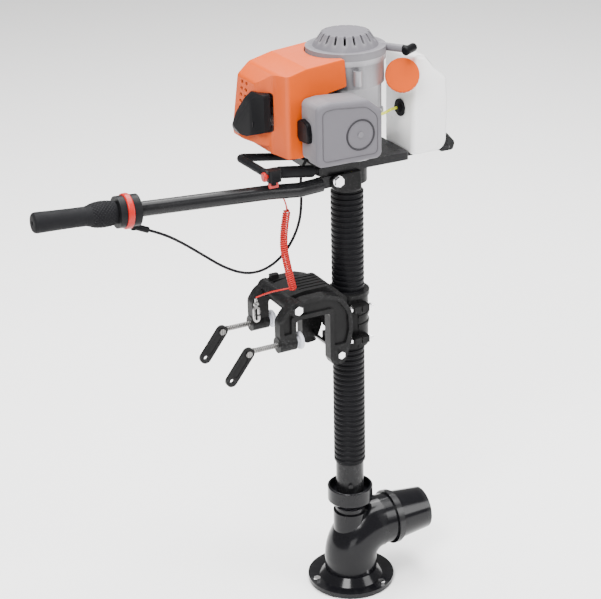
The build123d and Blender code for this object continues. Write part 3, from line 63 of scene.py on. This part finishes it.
# ---------------------------------------------------------------- camera and light
SENSOR_WIDTH = 36.0
CLIP_END = 50.0
WORLD_COLOUR = (1.0, 0.985, 0.97, 1)
WORLD_STRENGTH = 0.50
LIGHTS = (
    ("key", (-1.6, -1.5, 2.2), (0.05, 0, 0.1), (1.3, 1.3), 150),
    ("fill", (1.8, -1.9, 1.1), (0.05, 0, 0.0), (1.2, 1.8), 70),
    ("rim", (0.9, 1.8, 2.4), (0.05, 0, 0.1), (1.4, 1.0), 50),
    ("low", (-1.6, -2.2, -0.1), (0.0, 0, -0.2), (1.0, 0.7), 10),
    ("top", (0.3, 0.5, 3.4), (0.3, 0.5, 0), (3.4, 3.4), 430),
)


def view_axes(azimuth, elevation, roll):
    """Right, up and back directions of a camera at these angles, in degrees."""
    a, e, r = (math.radians(angle) for angle in (azimuth, elevation, roll))
    back = Vector((math.sin(a) * math.cos(e), -math.cos(a) * math.cos(e), math.sin(e)))
    level = Vector((math.cos(a), math.sin(a), 0))
    upright = back.cross(level)
    right = level * math.cos(r) - upright * math.sin(r)
    up = upright * math.cos(r) + level * math.sin(r)
    return right, up, back


def add_camera(position, azimuth, elevation, roll, lens):
    """Camera at a position in metres, with its angles in degrees and its lens in millimetres."""
    right, up, back = view_axes(azimuth, elevation, roll)
    data = bpy.data.cameras.new("camera")
    data.lens = lens
    data.sensor_width = SENSOR_WIDTH
    data.clip_end = CLIP_END
    camera = bpy.data.objects.new("camera", data)
    camera.matrix_world = Matrix(
        (
            (right.x, up.x, back.x, position[0]),
            (right.y, up.y, back.y, position[1]),
            (right.z, up.z, back.z, position[2]),
            (0, 0, 0, 1),
        )
    )
    bpy.context.scene.collection.objects.link(camera)
    bpy.context.scene.camera = camera


def add_area_light(name, position, target, size, power):
    """White rectangular light at a position, aimed at a target; size in metres, power in watts."""
    data = bpy.data.lights.new(name, "AREA")
    data.shape = "RECTANGLE"
    data.size, data.size_y = size
    data.energy = power
    lamp = bpy.data.objects.new(name, data)
    lamp.location = position
    lamp.rotation_euler = (Vector(target) - Vector(position)).to_track_quat("-Z", "Y").to_euler()
    bpy.context.scene.collection.objects.link(lamp)


add_camera((-1.0977, -2.1551, 1.0534), azimuth=-27.0, elevation=23.4, roll=1.3, lens=102.4)
for light in LIGHTS:
    add_area_light(*light)

world = bpy.data.worlds.new("studio")
world.use_nodes = True
background = world.node_tree.nodes["Background"]
background.inputs["Color"].default_value = WORLD_COLOUR
background.inputs["Strength"].default_value = WORLD_STRENGTH
bpy.context.scene.world = world


# ---------------------------------------------------------------- materials
SCUFF_GREY = 0.55
CHIP_COLOUR = (0.30, 0.30, 0.31)
DUST_COLOUR = (0.30, 0.29, 0.27)
THREAD_SCALE = 105.0


class Nodes:
    """Small helper that wires a procedural material."""

    def __init__(self, name):
        self.material = bpy.data.materials.new(name)
        self.material.use_nodes = True
        self.tree = self.material.node_tree
        self.shader = self.tree.nodes["Principled BSDF"]
        self.place = self.tree.nodes.new("ShaderNodeTexCoord").outputs["Object"]

    def set(self, **values):
        """Sets sockets of the shader; an underscore stands for a space in the socket's name."""
        for key, value in values.items():
            self.shader.inputs[key.replace("_", " ")].default_value = value

    def add(self, kind, inputs=None, **settings):
        """New node; an input is either a socket to link or a value to set."""
        node = self.tree.nodes.new(kind)
        for key, value in settings.items():
            setattr(node, key, value)
        for key, value in (inputs or {}).items():
            if isinstance(value, bpy.types.NodeSocket):
                self.tree.links.new(value, node.inputs[key])
            else:
                node.inputs[key].default_value = value
        return node

    def link(self, source, target):
        self.tree.links.new(source, self.shader.inputs[target])

    def noise(self, scale, detail=4.0, roughness=0.6, stretch=(1, 1, 1)):
        """Noise in the object's own coordinates, stretched along the axes."""
        mapping = self.add("ShaderNodeMapping", {"Vector": self.place, "Scale": stretch})
        made = self.add("ShaderNodeTexNoise", {"Vector": mapping.outputs[0], "Scale": scale,
                                               "Detail": detail, "Roughness": roughness})
        return made.outputs["Fac"]

    def remap(self, value, low, high, from_low=0.3, from_high=0.7):
        """Value moved from one range to another; the default range is that of a noise."""
        made = self.add("ShaderNodeMapRange", {"Value": value, "From Min": from_low, "From Max": from_high,
                                               "To Min": low, "To Max": high})
        return made.outputs[0]

    def mix(self, factor, first, second):
        made = self.add("ShaderNodeMix", data_type="RGBA")
        for key, value in ((0, factor), (6, first), (7, second)):
            if isinstance(value, bpy.types.NodeSocket):
                self.tree.links.new(value, made.inputs[key])
            else:
                made.inputs[key].default_value = value
        return made.outputs[2]

    def bump(self, height, strength, distance, below=None):
        inputs = {"Height": height, "Strength": strength, "Distance": distance}
        if below is not None:
            inputs["Normal"] = below
        return self.add("ShaderNodeBump", inputs).outputs[0]

    def edges(self, low=0.52, high=0.60):
        """White on sharp outer edges, black elsewhere."""
        pointed = self.add("ShaderNodeNewGeometry").outputs["Pointiness"]
        return self.remap(pointed, 0.0, 1.0, low, high)


def rgba(colour):
    return (*colour, 1.0)


def shade(colour, factor):
    return tuple(min(1.0, channel * factor) for channel in colour)


def moulded(name, colour, rough, grain=900.0, grain_depth=0.00004, mottle=0.10, wear=0.12, coat=0.0,
            shine=0.5):
    """Moulded plastic: fine grain, faint flow mottling, scuffed edges."""
    n = Nodes(name)
    cloud = n.noise(14.0, 5.0)
    tint = n.mix(cloud, rgba(shade(colour, 1 - mottle)), rgba(shade(colour, 1 + mottle)))
    scuff = n.mix(n.edges(), tint, rgba(tuple(channel + (SCUFF_GREY - channel) * wear for channel in colour)))
    n.link(scuff, "Base Color")
    n.link(n.remap(n.noise(60.0, 6.0), rough * 0.82, rough * 1.22), "Roughness")
    fine = n.bump(n.noise(grain, 3.0), 0.35, grain_depth)
    n.link(n.bump(n.noise(28.0, 3.0), 0.12, 0.0004, fine), "Normal")
    n.set(Coat_Weight=coat, Coat_Roughness=0.12, Specular_IOR_Level=shine)
    return n.material


def painted(name, colour, rough, peel=0.00003, wear=0.18, dust=0.01, shine=0.28):
    """Paint over metal: orange peel, a few chips on the edges, a thin veil of dust."""
    n = Nodes(name)
    cloud = n.noise(20.0, 6.0)
    tint = n.mix(cloud, rgba(shade(colour, 0.8)), rgba(tuple(channel + 0.008 for channel in colour)))
    chips = n.remap(n.noise(240.0, 8.0, 0.75), 0.0, 1.0, 0.52, 0.60)
    worn = n.add("ShaderNodeMath", {0: n.edges(0.55, 0.66), 1: chips}, operation="MULTIPLY").outputs[0]
    faded = n.add("ShaderNodeMath", {0: worn, 1: wear}, operation="MULTIPLY").outputs[0]
    chipped = n.mix(faded, tint, rgba(CHIP_COLOUR))
    n.link(n.mix(n.remap(n.noise(9.0, 4.0), 0.0, dust), chipped, rgba(DUST_COLOUR)), "Base Color")
    n.link(n.remap(n.noise(45.0, 6.0), rough * 0.75, rough * 1.3), "Roughness")
    n.link(n.bump(n.noise(420.0, 2.0), 0.3, peel), "Normal")
    n.set(Coat_Weight=0.04, Coat_Roughness=rough * 0.6, Specular_IOR_Level=shine)
    return n.material


def cast_metal(name, colour, rough=0.42, depth=0.00016):
    """Cast aluminium: sandy skin, darker in the hollows, brighter on the edges."""
    n = Nodes(name)
    sand = n.noise(520.0, 6.0, 0.7)
    tint = n.mix(n.noise(18.0, 5.0), rgba(shade(colour, 0.78)), rgba(shade(colour, 1.12)))
    n.link(n.mix(n.edges(0.51, 0.60), tint, rgba(shade(colour, 1.5))), "Base Color")
    n.link(n.remap(n.noise(70.0, 5.0), rough * 0.8, rough * 1.3), "Roughness")
    n.link(n.bump(sand, 0.5, depth), "Normal")
    n.set(Metallic=0.75)
    return n.material


def bright_metal(name, colour, rough, stretch=(1, 1, 1), depth=0.00002):
    """Turned or plated steel with fine tool marks and faint handling marks."""
    n = Nodes(name)
    marks = n.noise(900.0, 2.0, 0.5, stretch)
    n.link(n.mix(n.noise(40.0, 5.0), rgba(shade(colour, 0.85)), rgba(shade(colour, 1.1))), "Base Color")
    n.link(n.remap(n.noise(120.0, 6.0), rough * 0.7, rough * 1.5), "Roughness")
    n.link(n.bump(marks, 0.4, depth), "Normal")
    n.set(Metallic=1.0)
    return n.material


def threaded(name, colour):
    """Screw thread along X: fine crests over greased steel, with painted shade darkening the roots between
    the crests.
    """
    n = Nodes(name)
    crests_and_root_shade = n.add("ShaderNodeTexWave", {"Vector": n.place, "Scale": THREAD_SCALE, "Distortion": 0.0},
                   wave_type="BANDS", bands_direction="X").outputs["Fac"]
    # Base colour: the roots between the crests are painted darker, as painted shade in the thread.
    n.link(n.mix(crests_and_root_shade, rgba(shade(colour, 0.35)), rgba(colour)), "Base Color")
    n.link(n.remap(n.noise(120.0, 5.0), 0.22, 0.42), "Roughness")
    n.link(n.bump(crests_and_root_shade, 0.7, 0.0006), "Normal")
    n.set(Metallic=1.0)
    return n.material


def rubbery(name, colour, rough=0.62):
    """Matte rubber: pored skin and a greyish bloom."""
    n = Nodes(name)
    bloom = n.remap(n.noise(22.0, 5.0), 0.0, 0.35)
    n.link(n.mix(bloom, rgba(colour), rgba(tuple(channel + 0.006 for channel in colour))), "Base Color")
    n.link(n.remap(n.noise(80.0, 5.0), rough * 0.85, rough * 1.15), "Roughness")
    n.link(n.bump(n.noise(1300.0, 4.0), 0.4, 0.00006), "Normal")
    n.set(Specular_IOR_Level=0.08)
    return n.material


def tank_skin(name):
    """Blow-moulded tank: milky, faintly translucent, soft waves in the wall."""
    n = Nodes(name)
    n.link(n.mix(n.noise(6.0, 3.0), rgba((0.80, 0.80, 0.79)), rgba((0.90, 0.895, 0.87))), "Base Color")
    n.link(n.remap(n.noise(50.0, 5.0), 0.26, 0.40), "Roughness")
    fine = n.bump(n.noise(700.0, 3.0), 0.25, 0.00005)
    n.link(n.bump(n.noise(16.0, 2.0), 0.25, 0.0012, fine), "Normal")
    n.set(Subsurface_Weight=0.35, Subsurface_Scale=0.02)
    n.shader.inputs["Subsurface Radius"].default_value = (0.9, 0.9, 0.8)
    return n.material


LOOKS = {
    "orange_plastic": moulded("orange_plastic", (0.47, 0.060, 0.0008), 0.42, wear=0.04, shine=0.08),
    "grey_plastic": moulded("grey_plastic", (0.105, 0.100, 0.112), 0.5, grain_depth=0.00009, shine=0.15),
    "cast_aluminium": cast_metal("cast_aluminium", (0.22, 0.217, 0.228)),
    "tank_plastic": tank_skin("tank_plastic"),
    "black_paint": painted("black_paint", (0.0035, 0.0035, 0.0043), 0.24, wear=0.04, dust=0.004, shine=0.14),
    "black_casting": painted("black_casting", (0.0028, 0.0028, 0.0032), 0.34, peel=0.0001, wear=0.06,
                             shine=0.06),
    "black_plastic": moulded("black_plastic", (0.0032, 0.0032, 0.004), 0.36, grain_depth=0.00007, wear=0.01,
                             shine=0.07),
    "pump_black": moulded("pump_black", (0.004, 0.004, 0.005), 0.16, grain_depth=0.00002, wear=0.02, coat=0.1,
                          shine=0.15),
    "black_rubber": rubbery("black_rubber", (0.006, 0.006, 0.007)),
    "bright_steel": bright_metal("bright_steel", (0.80, 0.80, 0.81), 0.12),
    "plain_steel": bright_metal("plain_steel", (0.55, 0.54, 0.53), 0.28, (0.1, 1, 1), 0.00006),
    "steel_heavy": bright_metal("steel_heavy", (0.48, 0.48, 0.49), 0.33, (1, 1, 0.1), 0.00004),
    "pad_white": moulded("pad_white", (0.50, 0.51, 0.56), 0.40),
    "red_plastic": moulded("red_plastic", (0.33, 0.0045, 0.0022), 0.34, wear=0.04, shine=0.3),
    "red_cord": moulded("red_cord", (0.40, 0.0045, 0.0022), 0.42, grain=500.0, grain_depth=0.00005, wear=0.02,
                        shine=0.25),
    "fuel_hose": moulded("fuel_hose", (0.58, 0.62, 0.03), 0.25),
    "thread_steel": threaded("thread_steel", (0.24, 0.235, 0.23)),
    # the panel line's darker grey is painted shade for the groove round the filter panel
    "panel_groove_shade": moulded("panel_groove_shade", (0.062, 0.059, 0.066), 0.5, wear=0.02, shine=0.12),
    "ring_grey": moulded("ring_grey", (0.022, 0.021, 0.024), 0.5, wear=0.02, shine=0.1),
}
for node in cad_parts.values():
    for spot in node.material_slots:
        spot.material = LOOKS[spot.material.name.split(".")[0]]
for name in ("screw_port", "screw_starboard"):
    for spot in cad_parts[name].material_slots:
        spot.material = LOOKS["thread_steel"]


def soften(name, width, segments=2, angle=32.0):
    """Rounds a CAD node's sharp edges, as casting or moulding leaves them."""
    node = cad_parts[name]
    edge = node.modifiers.new("edges", "BEVEL")
    edge.width = width
    edge.segments = segments
    edge.limit_method = "ANGLE"
    edge.angle_limit = math.radians(angle)
    edge.harden_normals = True


# ---------------------------------------------------------------- cords
def route_line(name, points, radius=0.0, resolution=12):
    """NURBS curve that follows a listed route; a radius makes it a round cord."""
    data = bpy.data.curves.new(name, "CURVE")
    data.dimensions = "3D"
    data.resolution_u = resolution
    data.bevel_depth = radius
    data.bevel_resolution = 5
    data.use_fill_caps = radius > 0
    spline = data.splines.new("NURBS")
    spline.points.add(len(points) - 1)
    for spot, place in zip(spline.points, points):
        spot.co = (*place, 1.0)
    spline.order_u = 3
    spline.use_endpoint_u = True
    made = bpy.data.objects.new(name, data)
    bpy.context.scene.collection.objects.link(made)
    return made


def line_points(points):
    """Points read along the smooth line of a route."""
    curve = route_line("route", points)
    bpy.context.view_layer.update()
    mesh = bpy.data.meshes.new_from_object(curve)
    found = [vertex.co.copy() for vertex in mesh.vertices]
    bpy.data.objects.remove(curve)
    bpy.data.meshes.remove(mesh)
    return found


def length_of(points):
    """Length of the line through the points."""
    return sum((after - before).length for before, after in zip(points, points[1:]))


def resampled(points, count):
    """The same line with evenly spaced points."""
    total = length_of(points)
    made = []
    index = 0
    passed = 0.0
    for step in range(count):
        wanted = total * step / (count - 1)
        while index < len(points) - 2 and passed + (points[index + 1] - points[index]).length < wanted:
            passed += (points[index + 1] - points[index]).length
            index += 1
        span = (points[index + 1] - points[index]).length
        share = 0.0 if span == 0 else min(1.0, (wanted - passed) / span)
        made.append(points[index].lerp(points[index + 1], share))
    return made


def frames_along(points):
    """Two directions square to a line at each of its points, with no twist from point to point."""
    tangents = []
    for index in range(len(points)):
        before = points[max(index - 1, 0)]
        after = points[min(index + 1, len(points) - 1)]
        tangents.append((after - before).normalized())
    side = tangents[0].orthogonal().normalized()
    made = []
    for tangent in tangents:
        side = (side - tangent * side.dot(tangent)).normalized()
        made.append((side, tangent.cross(side)))
    return made


def mesh_object(name, vertices, faces):
    """Smooth-shaded mesh object in the scene."""
    mesh = bpy.data.meshes.new(name)
    mesh.from_pydata([tuple(vertex) for vertex in vertices], [], faces)
    mesh.validate()
    for polygon in mesh.polygons:
        polygon.use_smooth = True
    made = bpy.data.objects.new(name, mesh)
    bpy.context.scene.collection.objects.link(made)
    return made


def tube(name, points, radius, sides=12):
    """Closed round tube along a line."""
    turns = [2 * math.pi * k / sides for k in range(sides)]
    vertices = [place + (side * math.cos(turn) + other * math.sin(turn)) * radius
                for place, (side, other) in zip(points, frames_along(points)) for turn in turns]
    faces = []
    for ring in range(len(points) - 1):
        for k in range(sides):
            here = ring * sides + k
            there = ring * sides + (k + 1) % sides
            faces.append((here, there, there + sides, here + sides))
    faces.append(tuple(reversed(range(sides))))
    faces.append(tuple(range(len(vertices) - sides, len(vertices))))
    return mesh_object(name, vertices, faces)


def paint(piece, look):
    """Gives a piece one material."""
    piece.data.materials.clear()
    piece.data.materials.append(LOOKS[look])
    return piece


def metres(points):
    """The same points, from millimetres to metres."""
    return [tuple(value * MM for value in point) for point in points]


CABLE_RADIUS = 2.1 * MM
LANYARD_RADIUS = 1.25 * MM
HOSE_RADIUS = 2.2 * MM
CABLE_ROUTE = metres((
    (-262, -45, 188), (-238, -45, 177), (-208, -43, 156), (-176, -40, 130), (-143, -36, 103),
    (-107, -31, 83), (-74, -25, 79), (-43, -19, 89), (-18, -14, 112), (-3, -11, 141), (1, -10, 174),
    (-1, -11, 205), (0, -17, 229), (4, -29, 246), (10, -44, 257), (14, -56, 271),
))
LANYARD_ROUTE = metres((
    (-66, -51.6, 220), (-63, -43, 218), (-55, -35.5, 211.5), (-44.5, -30.5, 197), (-34.5, -27, 183),
    (-31.5, -26, 167),
))
COIL_ROUTE = metres(((-31.5, -26, 170), (-41.5, -26, 126), (-34.5, -26, 80), (-24.5, -26, 37.5)))
TAIL_ROUTE = metres(((-26, -26, 42), (-38, -24, 41), (-50, -12, 36), (-57.5, 3, 28), (-66, 19, 17.5)))
FUEL_ROUTE = metres((
    (166.5, -12, 291), (152, -16, 292), (137, -32, 295), (119, -48, 298), (95, -56.5, 300), (70, -59, 300),
    (44, -59, 300),
))

cable_line = resampled(line_points(CABLE_ROUTE), count=160)
cable = paint(tube("throttle_cable_sheath", cable_line, CABLE_RADIUS), "black_rubber")
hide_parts("throttle_cable")
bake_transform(cable)

upper_line = resampled(line_points(LANYARD_ROUTE), count=60)
upper = paint(tube("lanyard_upper", upper_line, LANYARD_RADIUS), "red_cord")
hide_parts("lanyard_cord")
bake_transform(upper)

COIL_TURNS = 39
COIL_STEPS = 14  # points in each turn
COIL_OUTER = 6.1 * MM
COIL_WIRE = 1.35 * MM
COIL_OPENS = 30  # full width is reached after 1/30 of the length
COIL_CLOSES = 60  # and left 1/60 of the length before the lower end
coil_axis = resampled(line_points(COIL_ROUTE), count=COIL_TURNS * COIL_STEPS + 1)
coil_line = []
for step, (place, (side, other)) in enumerate(zip(coil_axis, frames_along(coil_axis))):
    turn = 2 * math.pi * step / COIL_STEPS
    share = step / (len(coil_axis) - 1)
    opened = min(1.0, share * COIL_OPENS, (1 - share) * COIL_CLOSES)
    reach = (COIL_OUTER - COIL_WIRE) * opened
    coil_line.append(place + (side * math.cos(turn) + other * math.sin(turn)) * reach)
coil = paint(tube("lanyard_coil_turns", coil_line, COIL_WIRE, sides=8), "red_cord")
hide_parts("lanyard_coil")
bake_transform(coil)

tail_line = resampled(line_points(TAIL_ROUTE), count=50)
tail = paint(tube("lanyard_tail", tail_line, LANYARD_RADIUS), "red_cord")
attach(tail, "swivel")

fuel_line = route_line("fuel_hose_run", FUEL_ROUTE, HOSE_RADIUS)
paint(fuel_line, "fuel_hose")
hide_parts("fuel_line")
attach(fuel_line, "motor")
length_of(line_points(FUEL_ROUTE))

# ---------------------------------------------------------------- twist grip
GRIP_START = Vector((-70, -45, 208.9)) * MM
GRIP_END = Vector((-424, -45, 230.5)) * MM
GRIP_ALONG = (GRIP_END - GRIP_START).normalized()
# A profile's pairs are distance along the axis and radius, in millimetres.
GRIP_PROFILE = (
    (239.5, 12.0), (239.7, 15.6), (240.6, 16.4), (246, 17.3), (254, 18.1), (262, 18.3), (270, 17.5),
    (277, 15.9), (282, 14.5), (284, 14.0), (285.4, 13.6), (286.8, 13.9), (300, 13.8), (330, 14.2),
    (349, 14.7), (356, 14.8), (359, 14.0), (360.6, 12.2), (361.0, 9.0), (360.9, 3.6), (359.4, 2.6),
    (359.2, 0.6),
)
KNURL_FROM = 243.0
KNURL_TO = 279.0
KNURL_FADE = 3
KNURL_TURNS = 11
KNURL_STEP = 0.62
KNURL_HEIGHT = 1.3
KNURL_SUNK = 0.4
GRIP_SIDES = 180
GRIP_STEP = 0.6


def profile_stations(profile, step):
    """Stations of a turned profile, no further apart than the step."""
    made = []
    for (start, low), (end, high) in zip(profile, profile[1:]):
        count = max(1, int(math.hypot(end - start, high - low) / step))
        made += [(start + (end - start) * k / count, low + (high - low) * k / count) for k in range(count)]
    return made + [profile[-1]]


def turned(name, start, along, profile, sides, relief=None):
    """Turned mesh round an axis; relief(distance, angle) adds to the radius, in millimetres."""
    side = along.orthogonal().normalized()
    other = along.cross(side)
    vertices = []
    for distance, radius in profile:
        for k in range(sides):
            turn = 2 * math.pi * k / sides
            size = radius + (relief(distance, turn) if relief else 0.0)
            vertices.append(start + along * (distance * MM)
                            + (side * math.cos(turn) + other * math.sin(turn)) * (size * MM))
    faces = []
    for ring in range(len(profile) - 1):
        for k in range(sides):
            here = ring * sides + k
            there = ring * sides + (k + 1) % sides
            faces.append((here, here + sides, there + sides, there))
    faces.append(tuple(range(sides)))
    faces.append(tuple(reversed(range(len(vertices) - sides, len(vertices)))))
    return mesh_object(name, vertices, faces)


def knurl(distance, turn):
    """Diamond pattern pressed into the thick end of the grip, fading out at both ends."""
    if not KNURL_FROM < distance < KNURL_TO:
        return 0.0
    fade = min(1.0, (distance - KNURL_FROM) / KNURL_FADE, (KNURL_TO - distance) / KNURL_FADE)
    rise = abs(math.sin(KNURL_TURNS * turn + distance * KNURL_STEP))
    fall = abs(math.sin(KNURL_TURNS * turn - distance * KNURL_STEP))
    return fade * KNURL_HEIGHT * (min(rise, fall) - KNURL_SUNK)


grip_profile = profile_stations(GRIP_PROFILE, GRIP_STEP)
grip_mesh = turned("grip_sleeve", GRIP_START, GRIP_ALONG, grip_profile, GRIP_SIDES, knurl)
paint(grip_mesh, "black_rubber")
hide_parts("twist_grip")
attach(grip_mesh, "grip")

# ---------------------------------------------------------------- starter rope
ROPE_FROM = Vector((109.05, 16.5, 393)) * MM
ROPE_ALONG = Vector((0.55, -0.835, 0)).normalized()
ROPE_RADIUS = 1.6 * MM
ROPE_ENDS = (52, 86)  # distances along the pull, in millimetres
rope_line = resampled([ROPE_FROM + ROPE_ALONG * (distance * MM) for distance in ROPE_ENDS], count=120)
rope = paint(tube("starter_rope", rope_line, ROPE_RADIUS), "black_rubber")
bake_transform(rope)

# ---------------------------------------------------------------- ring, and panel line in painted groove shade, on the air filter
RING_ALONG = Vector((0, -1, 0))
RING_START = Vector((47, -110, 295)) * MM
RING_PROFILE = ((-0.6, 20.4), (0.5, 20.6), (1.2, 21.1), (1.4, 21.9), (1.2, 22.8), (0.5, 23.3), (-0.6, 23.5))
RING_SIDES = 96
ring_mesh = turned("filter_ring", RING_START, RING_ALONG, RING_PROFILE, RING_SIDES)
paint(ring_mesh, "ring_grey")
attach(ring_mesh, "motor")


def rounded_loop(points, corner, steps=8):
    """Closed line through a polygon whose corners are rounded; it ends where it starts."""
    made = []
    for index, tip in enumerate(points):
        before = tip + (points[index - 1] - tip).normalized() * corner
        after = tip + (points[(index + 1) % len(points)] - tip).normalized() * corner
        for step in range(steps + 1):
            share = step / steps
            made.append(before.lerp(tip, share).lerp(tip.lerp(after, share), share))
    return made + [made[0]]


PANEL_EDGE = [Vector(spot) for spot in metres((
    (-14, -110, 263), (75, -110, 263), (75, -110, 320), (57, -110, 335), (2, -110, 340), (-14, -110, 337),
))]
PANEL_CORNER = 8 * MM
PANEL_BEAD_RADIUS = 0.75 * MM
panel_line = resampled(rounded_loop(PANEL_EDGE, PANEL_CORNER), count=220)
# the bead's darker grey is painted shade standing for the groove round the panel
panel_bead = paint(tube("filter_panel_bead", panel_line, PANEL_BEAD_RADIUS), "panel_groove_shade")
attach(panel_bead, "motor")

# ---------------------------------------------------------------- rounded edges of the CAD nodes
for name, width in (
    ("clamp_plate_port", 1.2), ("clamp_plate_starboard", 1.2), ("swivel_bracket", 1.0), ("sleeve_cap", 1.0),
    ("seat_web", 0.8), ("screw_handle_port", 1.0), ("screw_handle_starboard", 1.0), ("engine_plate", 0.8),
    ("top_clamp", 1.0), ("crankcase", 1.2), ("fan_housing", 1.0), ("starter_housing", 0.8),
    ("pump_elbow", 0.6), ("nozzle", 0.5), ("pump_collar", 0.5), ("muffler", 0.8), ("carburettor", 0.6),
    ("throttle_housing", 0.6), ("stop_switch", 0.8), ("stop_clip", 0.5), ("plug_cover", 0.8),
    ("air_filter_base", 0.6), ("tank_stand", 0.8), ("cylinder", 0.3), ("snap_hook", 0.4),
    ("tiller_bolt", 0.5), ("flange_bolts", 0.5), ("sleeve_bolts", 0.5), ("tilt_bolt", 0.5),
    ("thrust_rod", 0.5),
):
    soften(name, width * MM)

# ---------------------------------------------------------------- floor
FLOOR_HALF = 8
FLOOR_DROP = 0.0005  # keeps the floor from touching the pump's flange
floor_corners = [(x * FLOOR_HALF, y * FLOOR_HALF, 0) for x, y in ((-1, -1), (1, -1), (1, 1), (-1, 1))]
floor = mesh_object("floor", floor_corners, [(0, 1, 2, 3)])
floor.location.z = cad_box[0][2] - FLOOR_DROP
floor_look = Nodes("floor_look")
floor_tint = floor_look.mix(floor_look.noise(1.5, 3.0), rgba((0.92, 0.915, 0.91)), rgba((0.95, 0.945, 0.94)))
floor_look.link(floor_tint, "Base Color")
floor_look.set(Roughness=0.7)
floor.data.materials.append(floor_look.material)
